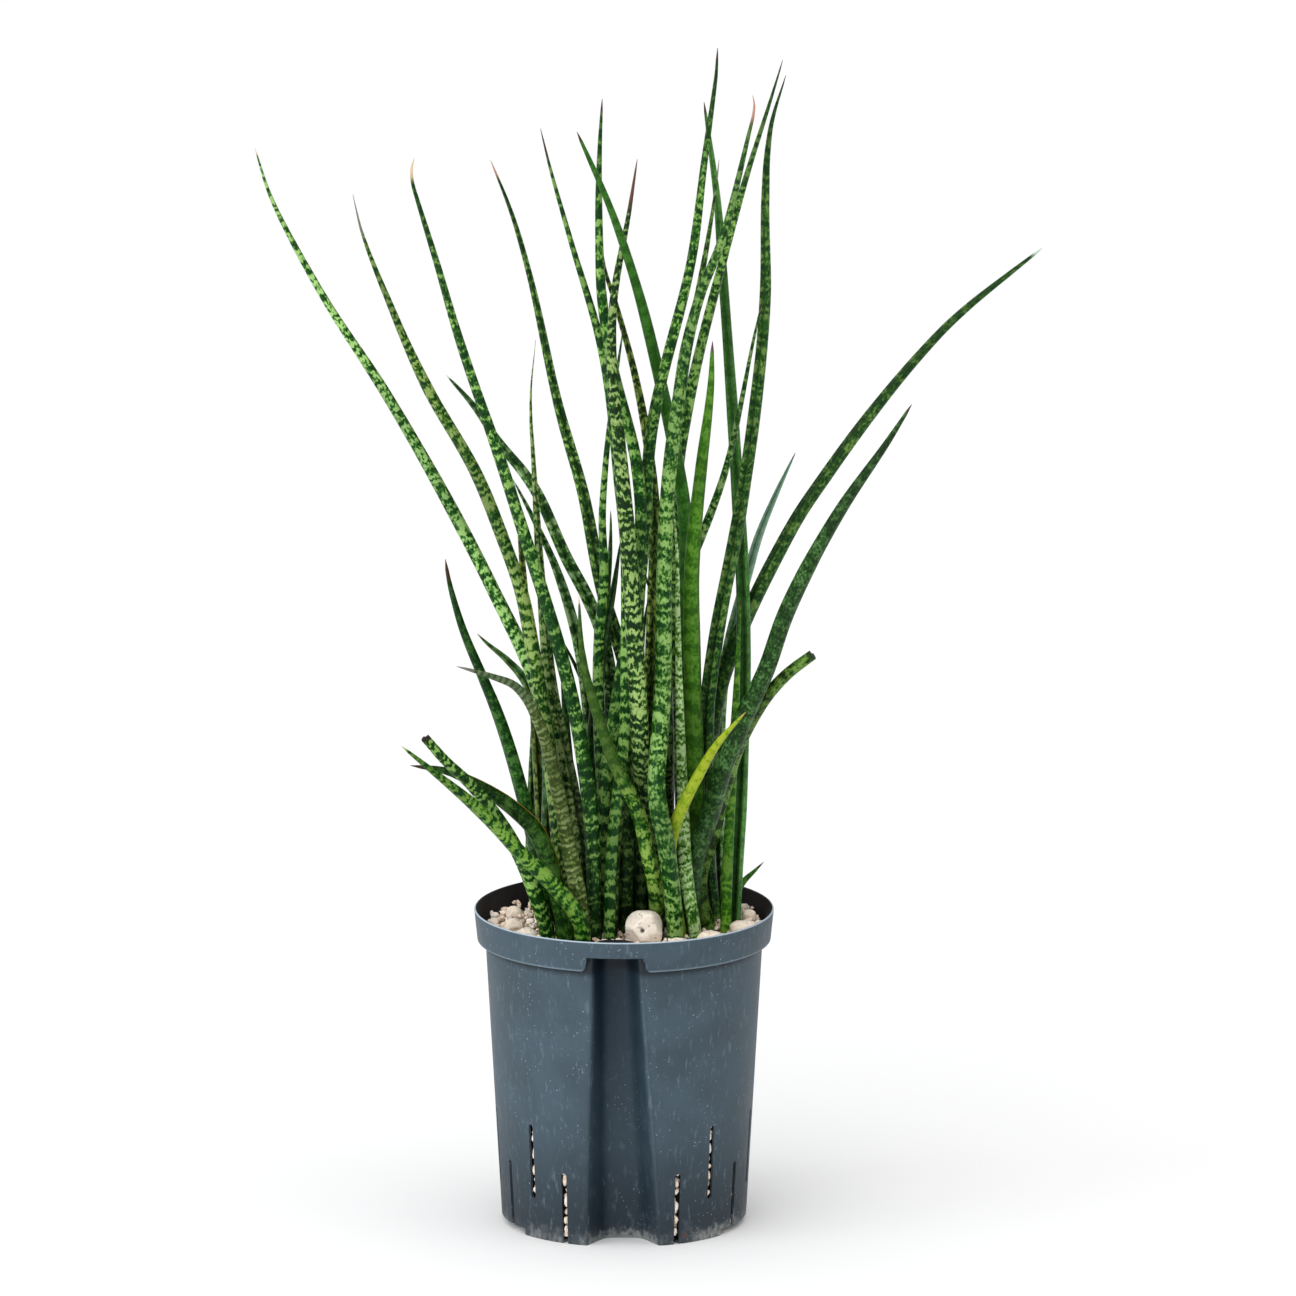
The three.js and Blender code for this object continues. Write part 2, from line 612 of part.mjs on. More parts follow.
// Leaves that would run into each other are eased apart along the line of sight, so that the
// plant keeps its look from the front
function easeApart(leaves) {
  for (const leaf of leaves) {
    for (const sample of leaf.samples) sample.radius = leafWidth(leaf, sample.along) / 2;
  }
  for (let pass = 0; pass < EASE_PASSES; pass++) {
    let touches = 0;
    for (let a = 0; a < leaves.length; a++) {
      for (let b = a + 1; b < leaves.length; b++) {
        const touch = worstTouch(leaves[a], leaves[b]);
        if (!touch) continue;
        touches++;
        shift(leaves[a], touch.atA, touch.side * touch.push / 2);
        shift(leaves[b], touch.atB, -touch.side * touch.push / 2);
      }
    }
    leaves.forEach(keepInPot);
    if (touches === 0) break;
  }
}

// Keeps the samples that a curve needs: those that stray from the line between their neighbours
function keepBends(points, first, last, kept) {
  let far = 0;
  let index = -1;
  const line = new THREE.Line3(points[first], points[last]);
  const nearest = new THREE.Vector3();
  for (let i = first + 1; i < last; i++) {
    const off = line.closestPointToPoint(points[i], true, nearest).distanceTo(points[i]);
    if (off > far) [far, index] = [off, i];
  }
  if (far < CURVE_TOLERANCE) return;
  kept.add(index);
  keepBends(points, first, index, kept);
  keepBends(points, index, last, kept);
}

// A leaf's cross-section, counter-clockwise, in widths: the groove, then round the back
function leafSection(share) {
  const groove = 0.02 + 0.2 * share;
  return [[0, groove], [-0.34, 0.4], [-0.5, 0.02], [-0.28, -0.4], [0.28, -0.4], [0.5, 0.02],
    [0.34, 0.4]];
}

function leafRing(centre, tangent, inward, width, share) {
  const across = new THREE.Vector3().crossVectors(inward, tangent).normalize();
  const up = new THREE.Vector3().crossVectors(tangent, across).normalize();
  return leafSection(share).map(([u, v]) => centre.clone()
    .addScaledVector(across, u * width).addScaledVector(up, v * width));
}

// The rings of a leaf from its sunk foot to near its tip, and the tip's own point
function leafRings(leaf, crown, grow = 0) {
  const points = leaf.samples.map((s) => new THREE.Vector3(s.x, s.y, heightOf(s)));
  points[0].z = SURFACE + FOOT_STRAIGHT;
  const last = points.length - 1;
  const kept = new Set([0, last]);
  const tipRings = leaf.row.blunt ? [] : TIP_RINGS.filter((back) => back < leaf.length);
  for (const back of tipRings) kept.add(Math.round(last * (1 - back / leaf.length)));
  keepBends(points, 0, last, kept);
  const lean = points[last].clone().sub(points[0]).setZ(0);
  const inward = new THREE.Vector3(crown[0] - points[0].x, crown[1] - points[0].y, 0).normalize()
    .addScaledVector(lean, -GROOVE_LEAN).normalize();
  const upright = new THREE.Vector3(0, 0, 1);
  const footWidth = leafWidth(leaf, 0) + 2 * grow;
  const sunk = points[0].clone().setZ(LEAF_FOOT - grow);
  const rings = [leafRing(sunk, upright, inward, footWidth, 0)];
  for (const i of [...kept].sort((a, b) => a - b)) {
    if (i === last && !leaf.row.blunt) continue;
    const tangent = i === 0 ? upright : points[Math.min(i + 1, last)].clone()
      .sub(points[i - 1]).normalize();
    const width = leafWidth(leaf, leaf.samples[i].along) + 2 * grow;
    rings.push(leafRing(points[i], tangent, inward, width, leaf.samples[i].along / leaf.length));
  }
  return { rings, tip: leaf.row.blunt ? null : points[last] };
}

// The straight hole that a leaf's foot stands in
function leafHole(leaf, crown) {
  const { rings } = leafRings(leaf, crown, GAP);
  const [foot] = rings;
  return solidOf(loft([foot, foot.map((p) => p.clone().setZ(SURFACE + ABOVE))]));
}

// A crown's profile, grown for the seat in the substrate, which ends level with the leaves' feet
function crownProfile(radius, top, grow) {
  return CROWN_PROFILE.map(([share, depth]) => {
    const rise = depth === 0 ? Math.min(grow, GAP) : -grow;
    return [share === 0 ? 0 : share * radius + grow, top - depth + rise];
  });
}

// Crowns joined by creeping stems, with roots going down, all grown by the same clearance
function rhizome(grow) {
  const top = LEAF_FOOT - GAP;
  const middle = top - STEM_DEPTH;
  const random = randomFrom(7);
  const solids = [];
  for (const { crown: [x, y, radius] } of Object.values(SHOOTS)) {
    const profile = crownProfile(radius, top, grow);
    solids.push(revolve(profile, CROWN_SIDES).translate([x, y, 0]));
    for (let i = 0; i < ROOTS_EACH; i++) {
      const turn = random() * 2 * Math.PI;
      const reach = between(ROOT_REACH, random());
      const bottom = between(ROOT_BOTTOM, random()) - grow;
      const end = new THREE.Vector3(x * ROOT_GATHER + reach * Math.cos(turn),
        y * ROOT_GATHER + reach * Math.sin(turn), bottom);
      const bend = new THREE.Vector3(x + reach * Math.cos(turn + 1),
        y + reach * Math.sin(turn + 1), (middle + bottom) / 2);
      const curve = new THREE.QuadraticBezierCurve3(new THREE.Vector3(x, y, middle), bend, end);
      const radii = ROOT_RADIUS.map((thick) => thick + grow);
      solids.push(tube(curve, ROOT_STEPS, ROOT_SIDES, radii));
    }
  }
  for (const link of STEM_LINKS) {
    const [from, to] = link.map((shoot) => SHOOTS[shoot].crown)
      .map(([x, y]) => new THREE.Vector3(x, y, middle));
    const thick = STEM_RADIUS + grow;
    solids.push(tube(new THREE.LineCurve3(from, to), 1, STEM_SIDES, [thick, thick]));
  }
  return union(solids);
}

// A rough stone: a ball of flat faces with its corners moved in and out
function roughBall(detail, size, turn, random, rough) {
  const ball = new THREE.IcosahedronGeometry(1, detail);
  ball.deleteAttribute('normal');
  ball.deleteAttribute('uv');
  const merged = mergeVertices(ball, 1e-4);
  const position = merged.attributes.position;
  for (let i = 0; i < position.count; i++) {
    const scale = 1 + rough * (random() - 0.5);
    position.setXYZ(i, position.getX(i) * scale, position.getY(i) * scale,
      position.getZ(i) * scale);
  }
  return merged.scale(size[0] / 2, size[1] / 2, size[2] / 2)
    .rotateZ(THREE.MathUtils.degToRad(turn));
}

function stoneSolid(stone, index, grow = 0) {
  const size = stone.size.map((side) => side + 2 * grow);
  const height = SURFACE + stone.size[2] * (0.5 - (stone.sink ?? STONE_SINK));
  const ball = roughBall(1, size, stone.turn, randomFrom(100 + index), STONE_ROUGH);
  return solidOf(ball).translate([...stone.centre, height]);
}

// Granules in an even spiral over the top, kept off the leaves and the stones
function granules(leaves) {
  const random = randomFrom(21);
  const feet = leaves.flatMap((leaf) => leaf.samples
    .filter((sample) => heightOf(sample) < SURFACE + GRANULE_TOP)
    .map((sample) => [sample.x, sample.y, sample.radius + GRANULE_CLEAR]));
  const stones = STONES.map(({ centre, size }) => [...centre, size[0] / 4]);
  const solids = [];
  for (let i = 0; i < GRANULE_COUNT; i++) {
    const radius = between(GRANULE_RADIUS, random());
    const out = GRANULE_FIELD * Math.sqrt((i + 0.5) / GRANULE_COUNT);
    const stray = () => between([-GRANULE_STRAY, GRANULE_STRAY], random());
    const x = out * Math.cos(i * GOLDEN_ANGLE) + stray();
    const y = out * Math.sin(i * GOLDEN_ANGLE) + stray();
    const size = [1, between(GRANULE_DEPTH, random()), GRANULE_HEIGHT]
      .map((share) => 2 * radius * share);
    const ball = roughBall(0, size, 360 * random(), random, GRANULE_ROUGH);
    const free = [...feet, ...stones].every(([fx, fy, fr]) => Math.hypot(x - fx, y - fy)
      > fr + radius);
    const height = SURFACE - GRANULE_SINK * GRANULE_HEIGHT * radius;
    if (free) solids.push(solidOf(ball).translate([x, y, height]));
  }
  return union(solids);
}

function substrate(leaves) {
  const seat = WALL + GAP;
  const clear = channel(seat + GAP, CHANNEL_CEILING + seat);
  const fill = envelope(seat, FLOOR + GAP, SURFACE);
  const room = envelope(seat, FLOOR + GAP, POT_HEIGHT);
  let solid = union([fill, granules(leaves).intersect(room)]).subtract(clear)
    .subtract(rhizome(2 * GAP));
  for (const leaf of leaves) solid = solid.subtract(leafHole(leaf, leaf.crown));
  STONES.forEach((stone, i) => {
    solid = solid.subtract(stoneSolid(stone, i, GAP));
  });
  return mainBody(solid);
}

const plant = new THREE.Group();

function add(name, geometry, color) {
  const mesh = new THREE.Mesh(geometry, new THREE.MeshStandardMaterial({ color }));
  mesh.name = name;
  plant.add(mesh);
}

const leaves = Object.entries(SHOOTS).flatMap(([shoot, { crown, leaves: rows }]) => rows
  .map((row, i) => ({ ...sampleLeaf(`${shoot}_leaf_${i + 1}`, row), crown })));
easeApart(leaves);

add('pot', geometryOf(pot()), POT_COLOR);
add('substrate', geometryOf(substrate(leaves)), PUMICE_COLOR);
add('rhizome', geometryOf(rhizome(0)), RHIZOME_COLOR);
STONES.forEach((stone, i) => {
  add(`stone_${i + 1}`, geometryOf(stoneSolid(stone, i)), STONE_COLOR);
});
for (const leaf of leaves) {
  const { rings, tip } = leafRings(leaf, leaf.crown);
  add(leaf.name, loft(rings, tip), TONES[leaf.row.tone]);
}

export default plant;
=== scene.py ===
# %% [markdown]
# A fernwood snake plant in a tapered nursery pot.
# The solids of the plant and its pot come in first, as a fixed frame that everything here is fitted to. The
# leaves, the pot and the pumice are then rebuilt as finer meshes in the same places, and each gets a finish
# that is made of nodes.

# %% Load the frame and keep its box
import math
import random

import bmesh
import bpy
import numpy as np
from mathutils import Matrix, Vector
from mathutils.bvhtree import BVHTree


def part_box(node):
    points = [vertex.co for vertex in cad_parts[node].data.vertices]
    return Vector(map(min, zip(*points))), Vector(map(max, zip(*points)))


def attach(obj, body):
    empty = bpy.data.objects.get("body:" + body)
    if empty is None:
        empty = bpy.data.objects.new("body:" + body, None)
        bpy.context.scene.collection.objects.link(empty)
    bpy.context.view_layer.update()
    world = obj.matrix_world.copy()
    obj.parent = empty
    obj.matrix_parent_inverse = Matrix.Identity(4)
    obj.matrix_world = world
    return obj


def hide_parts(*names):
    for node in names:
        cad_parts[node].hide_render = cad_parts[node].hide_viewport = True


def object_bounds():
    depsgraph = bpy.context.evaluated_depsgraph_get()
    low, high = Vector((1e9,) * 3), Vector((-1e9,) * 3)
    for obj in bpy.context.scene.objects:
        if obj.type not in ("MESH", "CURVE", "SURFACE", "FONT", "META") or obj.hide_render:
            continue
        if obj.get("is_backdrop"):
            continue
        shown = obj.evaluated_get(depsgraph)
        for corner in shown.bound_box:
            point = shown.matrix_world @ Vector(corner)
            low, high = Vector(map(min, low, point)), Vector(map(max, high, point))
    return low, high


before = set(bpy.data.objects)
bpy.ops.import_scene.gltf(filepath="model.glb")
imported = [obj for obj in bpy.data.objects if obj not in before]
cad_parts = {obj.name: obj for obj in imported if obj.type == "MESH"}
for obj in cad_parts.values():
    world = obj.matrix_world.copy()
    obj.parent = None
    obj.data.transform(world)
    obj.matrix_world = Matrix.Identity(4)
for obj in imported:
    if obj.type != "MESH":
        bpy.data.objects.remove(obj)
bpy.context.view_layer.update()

# %% [markdown]
# The view looks 13.4 degrees down at the plant from far off, so that nothing tapers with distance. A long
# lens does that. The frame is as wide as 777.6 mm at the plant, and its middle lies 14.4 mm right of the
# pot's axis.

# %% Camera
MM = 0.001
VIEW_DOWN = math.radians(13.4)
FRAME_WIDTH = 777.6 * MM
LENS = 1200
SENSOR = 36
AIM = Vector((14.4, 0, 352.3)) * MM


def add(name, data):
    item = bpy.data.objects.new(name, data)
    bpy.context.scene.collection.objects.link(item)
    return item


def new_mesh(name, points, faces):
    mesh = bpy.data.meshes.new(name)
    mesh.from_pydata(points, [], faces)
    return mesh


def look_back(item, away):
    """Turns a camera or a lamp so that it looks back along a direction."""
    item.rotation_mode = "QUATERNION"
    item.rotation_quaternion = (-away).to_track_quat("-Z", "Y")


camera = add("camera", bpy.data.cameras.new("camera"))
bpy.context.scene.camera = camera
camera.data.lens = LENS
camera.data.sensor_width = SENSOR
camera.data.clip_end = 100
reach = FRAME_WIDTH * LENS / SENSOR
toward = Vector((0, -math.cos(VIEW_DOWN), math.sin(VIEW_DOWN)))
camera.location = AIM + toward * reach
look_back(camera, toward)
print(f"camera {reach:.2f} m away")

# %% [markdown]
# The floor is plain and pale, and broad enough to fill the frame. Half of the light is the even glow of a
# white studio, which leaves the channel and the gaps between the leaves darker. A broad lamp overhead
# lights all the floor alike. One from the front left shades round shapes towards their edges, and a soft
# box on each side lifts their flanks.

# %% Floor
FLOOR_HALF = 9
corners = [(x * FLOOR_HALF, y * FLOOR_HALF, 0) for x, y in ((-1, -1), (1, -1), (1, 1), (-1, 1))]
floor = add("floor", new_mesh("floor", corners, [(0, 1, 2, 3)]))
paper = bpy.data.materials.new("white paper")
paper.use_nodes = True
paper_shader = paper.node_tree.nodes["Principled BSDF"]
paper_shader.inputs["Base Color"].default_value = (0.9, 0.9, 0.9, 1)
paper_shader.inputs["Roughness"].default_value = 0.9
floor.data.materials.append(paper)
floor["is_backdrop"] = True
print("floor", 2 * FLOOR_HALF, "m wide")

# %% Soft light
GLOW = 0.42
SOFT_BOXES = {
    "left box": ((-2.6, -1.2, 1.3), 1.5, 20, (0.93, 0.97, 1.0)),
    "right box": ((2.6, -1.1, 1.2), 1.5, 7, (1.0, 0.98, 0.95)),
}
BROAD_LAMPS = {"overhead": ((-0.3, -0.7, 3), 1.9, 110), "frontal": ((-1.2, -2.6, 1.3), 1.1, 50)}
LIT_POINT = Vector((0, 0, 0.3))


def add_lamp(name, kind, place, power):
    light = bpy.data.lights.new(name, kind)
    light.energy = power
    lamp = add(name, light)
    lamp.location = place
    look_back(lamp, lamp.location - LIT_POINT)
    return light


for name, (place, side, power, colour) in SOFT_BOXES.items():
    soft_box = add_lamp(name, "AREA", place, power)
    soft_box.size = side
    soft_box.color = colour
for name, (place, power, spread) in BROAD_LAMPS.items():
    broad = add_lamp(name, "SUN", place, power)
    broad.angle = math.radians(spread)
studio = bpy.data.worlds.new("studio")
bpy.context.scene.world = studio
studio.use_nodes = True
studio.node_tree.nodes["Background"].inputs["Color"].default_value = (1, 1, 1, 1)
studio.node_tree.nodes["Background"].inputs["Strength"].default_value = GLOW
bpy.context.scene.view_settings.view_transform = "Standard"
print(len(SOFT_BOXES), "soft boxes and", len(BROAD_LAMPS), "broad lamps")

# %% [markdown]
# Each finish is a Principled shader with noise before it. A helper keeps the node code short: it adds a
# node, plugs its inputs and hands back an output, and it lays coats of colour over each other.

# %% Helper for finishes


def rgb(red, green, blue):
    """A colour from 0 to 255, as a picture shows it, in a shader's linear values."""
    def linear(value):
        share = value / 255
        return share / 12.92 if share < 0.04045 else ((share + 0.055) / 1.055) ** 2.4
    return (linear(red), linear(green), linear(blue), 1)


class Finish:
    """A material under construction, and the colour that its coats have built up."""

    def __init__(self, name, ground):
        self.material = bpy.data.materials.new(name)
        self.material.use_nodes = True
        self.tree = self.material.node_tree
        self.shader = self.tree.nodes["Principled BSDF"]
        self.colour = rgb(*ground)

    def feed(self, socket, value):
        if isinstance(value, bpy.types.NodeSocket):
            self.tree.links.new(value, socket)
        else:
            socket.default_value = value

    def node(self, kind, inputs, output=0, **settings):
        node = self.tree.nodes.new("ShaderNode" + kind)
        for key, value in settings.items():
            setattr(node, key, value)
        for key, value in inputs.items():
            self.feed(node.inputs[key], value)
        return node.outputs[output]

    def attribute(self, name, output="Fac"):
        return self.node("Attribute", {}, output, attribute_name=name)

    def place(self):
        return self.node("TexCoord", {}, "Object")

    def axis(self, vector, letter):
        return self.node("SeparateXYZ", {"Vector": vector}, letter)

    def stretch(self, vector, scale):
        return self.node("Mapping", {"Vector": vector, "Scale": scale})

    def noise(self, vector, scale, detail=3.0, rough=0.55):
        """Soft noise, per metre. Three numbers squeeze or draw it out along the axes."""
        if isinstance(scale, tuple):
            vector = self.stretch(vector, scale)
            scale = 1.0
        return self.node("TexNoise", {"Vector": vector, "Scale": scale, "Detail": detail, "Roughness": rough})

    def cells(self, vector, scale):
        return self.node("TexVoronoi", {"Vector": vector, "Scale": scale}, "Distance")

    def math(self, operation, a, b=0.0):
        return self.node("Math", {0: a, 1: b}, operation=operation)

    def plus(self, first, *others):
        for other in others:
            first = self.math("ADD", first, other)
        return first

    def times(self, first, *others):
        for other in others:
            first = self.math("MULTIPLY", first, other)
        return first

    def minus(self, a, b):
        return self.math("SUBTRACT", a, b)

    def span(self, value, low, high, to_low=0.0, to_high=1.0):
        """A soft step: from one value to another while the input goes from low to high."""
        inputs = {"Value": value, 1: low, 2: high, 3: to_low, 4: to_high}
        return self.node("MapRange", inputs, interpolation_type="SMOOTHSTEP")

    def cover(self, colour, *shares):
        """A coat of a colour as thick as its shares say."""
        inputs = {0: self.times(*shares), 6: self.colour, 7: rgb(*colour)}
        self.colour = self.node("Mix", inputs, 2, data_type="RGBA")

    def coat(self, value, low, high, most, colour):
        """A coat that thickens up to its most while a value goes from low to high."""
        self.cover(colour, self.span(value, low, high, 0, most))

    def done(self, roughness, shine, height, depth, strength):
        """Plugs the colour, the roughness and a relief into the shader."""
        bump = self.node("Bump", {"Height": height, "Distance": depth, "Strength": strength})
        for key, value in (("Base Color", self.colour), ("Roughness", roughness),
                           ("Specular IOR Level", shine), ("Normal", bump)):
            self.feed(self.shader.inputs[key], value)
        return self.material


print("mid grey is", round(rgb(128, 128, 128)[0], 3), "as a linear value")

# %% [markdown]
# A leaf is a thick stalk-like blade with a channel down one side. Its solid is a chain of seven-cornered
# rings, from its sunk foot to its tip, which gives its path, its width and the way that its channel faces.
# The fine skin is a smooth curve through those rings. A sculpted or subdivided copy would round the tips
# away, so the skin is lofted afresh, with as many rings as the curve needs.

# %% Read a leaf's rings from its solid
RING = 7


def leaf_net(node):
    """A solid's corners, welded, and the neighbours of each."""
    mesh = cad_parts[node].data
    places = {}
    weld = []
    for vertex in mesh.vertices:
        key = tuple(round(value / MM, 3) for value in vertex.co)
        weld.append(places.setdefault(key, len(places)))
    near = [set() for _ in places]
    for edge in mesh.edges:
        a, b = (weld[i] for i in edge.vertices)
        if a != b:
            near[a].add(b)
            near[b].add(a)
    return [Vector(key) * MM for key in places], near


def ring_levels(points, near):
    """The corners in rings, from the foot up: each ring is next to the one before."""
    lowest = sorted(range(len(points)), key=lambda i: points[i].z)[:RING]
    levels = [lowest]
    seen = set(lowest)
    while len(seen) < len(points):
        following = {j for i in levels[-1] for j in near[i]} - seen
        levels.append(sorted(following))
        seen |= following
    return levels


corners, neighbours = leaf_net("left_leaf_1")
print("left_leaf_1:", len(corners), "corners in", len(ring_levels(corners, neighbours)), "levels")

# %% Turn the rings into stations: place, width, facing and channel depth
TIP_WIDTH = 0.3 * MM
SET_BACK = 0.02


def station(points, near, ring):
    """One ring's centre, width, the way that its channel faces and how deep the channel is."""
    middle = sum((points[i] for i in ring), Vector()) / RING
    groove = min(ring, key=lambda i: (points[i] - middle).length)
    order = [groove]
    while len(order) < RING:
        order.append(min((j for j in ring if j not in order),
                         key=lambda j: (j not in near[order[-1]], (points[j] - points[order[-1]]).length)))
    _, lip_a, side_a, back_a, back_b, side_b, lip_b = (points[i] for i in order)
    facing = ((lip_a + lip_b) / 2 - (back_a + back_b) / 2).normalized()
    width = (side_a - side_b).length
    centre = (side_a + side_b) / 2 - facing * width * SET_BACK
    depth = (points[groove] - centre).dot(facing) / width
    return {"centre": centre, "width": width, "facing": facing, "channel": depth}


def leaf_stations(node):
    points, near = leaf_net(node)
    levels = ring_levels(points, near)
    rings = [level for level in levels if len(level) == RING]
    stations = [station(points, near, ring) for ring in rings[1:]]
    foot = sum((points[i] for i in rings[0]), Vector()) / RING
    first = dict(stations[0])
    first["centre"] = first["centre"] + Vector((0, 0, foot.z - first["centre"].z))
    stations.insert(0, first)
    if len(levels[-1]) == 1:
        stations.append(dict(stations[-1], centre=points[levels[-1][0]], width=TIP_WIDTH))
    return stations


leaf_nodes = sorted(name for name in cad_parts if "_leaf_" in name)
stations_of = {name: leaf_stations(name) for name in leaf_nodes}
print(len(leaf_nodes), "leaves,", sum(map(len, stations_of.values())), "stations")

# %% Smooth curve through the stations
RING_STEP = 3.2 * MM


def smooth(values, knots, at):
    """A curve through rows of values at rising knots."""
    values = np.asarray(values, float)
    slope = np.gradient(values, knots, axis=0)
    spans = np.clip(np.searchsorted(knots, at, side="right") - 1, 0, len(knots) - 2)
    size = (knots[spans + 1] - knots[spans])[:, None]
    t = (at[:, None] - knots[spans][:, None]) / size
    return ((2 * t**3 - 3 * t**2 + 1) * values[spans] + (t**3 - 2 * t**2 + t) * size * slope[spans]
            + (3 * t**2 - 2 * t**3) * values[spans + 1] + (t**3 - t**2) * size * slope[spans + 1])


def leaf_path(stations):
    """Centres, widths, facings and channel depths at even steps along a leaf."""
    centres = np.array([s["centre"] for s in stations])
    knots = np.concatenate([[0], np.cumsum(np.linalg.norm(np.diff(centres, axis=0), axis=1))])
    at = np.linspace(0, knots[-1], round(knots[-1] / RING_STEP) + 1)
    widths = np.interp(at, knots, [s["width"] for s in stations])
    facings = smooth([s["facing"] for s in stations], knots, at)
    channels = np.interp(at, knots, [s["channel"] for s in stations])
    return at, smooth(centres, knots, at), widths, facings, channels


print("left_leaf_1 is", round(leaf_path(stations_of["left_leaf_1"])[0][-1] / MM), "mm long on its curve")

# %% [markdown]
# Across, the leaf is nearly round behind, with two lips along the channel. The outline below is a closed
# curve through the solid's seven corners. Each point remembers how near it is to a lip or to the bottom of
# the channel, and where it lies on the leaf as if that were straight: the patterns of the finish follow the
# leaf that way. It also remembers how deep it lies in the thick of the plant, where its finish paints shade.

# %% Cross-section
PER_CORNER = 4


def section(channel):
    """Points round a leaf one unit wide, and how much each is lip and channel."""
    rows = np.array([(0, channel, 0, 1), (-0.34, 0.4, 1, 0), (-0.5, 0.02, 0, 0), (-0.28, -0.4, 0, 0),
                     (0.28, -0.4, 0, 0), (0.5, 0.02, 0, 0), (0.34, 0.4, 1, 0)])
    before, after, beyond = (np.roll(rows, shift, axis=0) for shift in (1, -1, -2))
    points = []
    for step in range(PER_CORNER):
        t = step / PER_CORNER
        points.append(rows + 0.5 * t * (after - before)
                      + t**2 * (before - 2.5 * rows + 2 * after - 0.5 * beyond)
                      + t**3 * (1.5 * (rows - after) + 0.5 * (beyond - before)))
    return np.stack(points, axis=1).reshape(-1, 4)


print("points round a leaf:", len(section(0.1)))

# %% Loft a leaf's skin
SPREAD = 1.7
SWELL = 0.018
# Where the painted shade among the leaves reaches: out from the pot's axis, and up the plant.
SHELTER, SHELTER_FADE = 60 * MM, 32 * MM
SHELTER_TOP, SHELTER_TOP_FADE = 350 * MM, 170 * MM


def net(rings, count):
    """The faces over rings of equal count: a cap at each end, and the quads between."""
    caps = [tuple(range(count - 1, -1, -1)), tuple(range((rings - 1) * count, rings * count))]
    quads = []
    for k in range(rings - 1):
        for i in range(count):
            a, b = k * count + i, k * count + (i + 1) % count
            quads.append((a, b, b + count, a + count))
    return caps, quads


def painted_shade_share(points):
    """How deep points lie in the thick of the plant, from 0 to 1, near the pot's axis and low down: the share
    of painted shade.
    """
    depth = np.clip((SHELTER - np.hypot(points[:, 0], points[:, 1])) / SHELTER_FADE, 0, 1)
    return depth * np.clip((SHELTER_TOP - points[:, 2]) / SHELTER_TOP_FADE, 0, 1)


def give(mesh, **numbers):
    """Stores a number at each corner of a mesh for its finish to read."""
    for key, values in numbers.items():
        mesh.attributes.new(key, "FLOAT", "POINT").data.foreach_set("value", values)


def leaf_skin(name, index):
    at, centres, widths, facings, channels = leaf_path(stations_of[name])
    tangents = np.gradient(centres, at, axis=0)
    across = np.cross(facings, tangents)
    across /= np.linalg.norm(across, axis=1)[:, None]
    up = np.cross(tangents, across)
    up /= np.linalg.norm(up, axis=1)[:, None]
    sway = random.Random(index)
    phase, beat = sway.uniform(0, 6.3), sway.uniform(60, 110)
    width = (widths * (1 + SWELL * np.sin(at * beat + phase)))[:, None]
    u, v, lip, hollow = np.moveaxis([section(channel) for channel in channels], 2, 0)
    spokes = across[:, None] * u[..., None] + up[:, None] * v[..., None]
    places = (centres[:, None] + spokes * width[..., None]).reshape(-1, 3)
    height = np.repeat(at, RING * PER_CORNER)
    caps, quads = net(len(at), RING * PER_CORNER)
    mesh = new_mesh(name + "_skin", places.tolist(), quads + caps)
    mesh.shade_smooth()
    straight = np.column_stack([np.ravel(u * width), np.ravel(v * width), height + SPREAD * index])
    mesh.attributes.new("straight", "FLOAT_VECTOR", "POINT").data.foreach_set("vector", np.ravel(straight))
    give(mesh, lip=np.ravel(lip), hollow=np.ravel(hollow), inner=painted_shade_share(places), to_tip=at[-1] - height,
         along=height / at[-1])
    mesh.update()
    return mesh


print("shelter by the axis, 200 mm up:", round(painted_shade_share(np.array([[0, 0, 200 * MM]]))[0], 2))

# %% [markdown]
# The leaves differ: most are dark green with pale broken bands, a few are plain bright green, olive or
# bluish, and the tips have dried to tan, grey or dark brown. One table holds how each leaf looks, and one
# finish reads it. A look has three greens: "cover" is the share of the pale one and "contrast" its
# strength. "band" is a band's width and "dry" the tip's length, in millimetres. "bands" and "zigzag" say
# how strong the bands and their chevrons are, and "dusk" how dark the top is. "tint" colours the leaf
# from a share of its length on, and "margin" its lips from the value "lip" on.

# %% Kinds of leaf
TAN, GREY, BROWN = (206, 180, 142), (112, 108, 98), (58, 42, 26)
PINK, PURPLE, PALE_TIP = (176, 132, 112), (92, 62, 52), (170, 196, 178)
USUAL = dict(band=4.0, bands=1.0, zigzag=0.3, rings=0, gloss=0, dusk=0, lip=0.86, margin=(54, 58, 22))


def kind(**greens):
    """A kind of leaf, as a helper that makes one leaf's look: its own values go over the kind's."""
    def look(tip=BROWN, dry=3, **own):
        return {**USUAL, **greens, "tip": tip, "dry": dry, **own}
    return look


mottled = kind(deep=(6, 46, 18), green=(40, 92, 30), pale=(128, 172, 84), cover=0.42, contrast=1.0, dusk=0.4)
bright = kind(deep=(24, 62, 8), green=(56, 108, 16), pale=(88, 140, 34), cover=0.4, contrast=0.45)
dark = kind(deep=(2, 32, 8), green=(22, 70, 20), pale=(76, 118, 52), cover=0.4, contrast=0.7, dusk=0.5,
            bands=0.6)
olive = kind(deep=(18, 38, 8), green=(68, 88, 26), pale=(128, 146, 66), cover=0.44, contrast=0.9)
lime = kind(deep=(84, 104, 18), green=(134, 150, 38), pale=(162, 172, 58), cover=0.55, contrast=0.4)
pale = kind(deep=(28, 66, 30), green=(92, 132, 72), pale=(172, 204, 142), cover=0.5, contrast=0.9)
blue = kind(deep=(12, 46, 22), green=(44, 90, 48), pale=(104, 148, 98), cover=0.42, contrast=0.6)
print("a dark leaf:", dark())

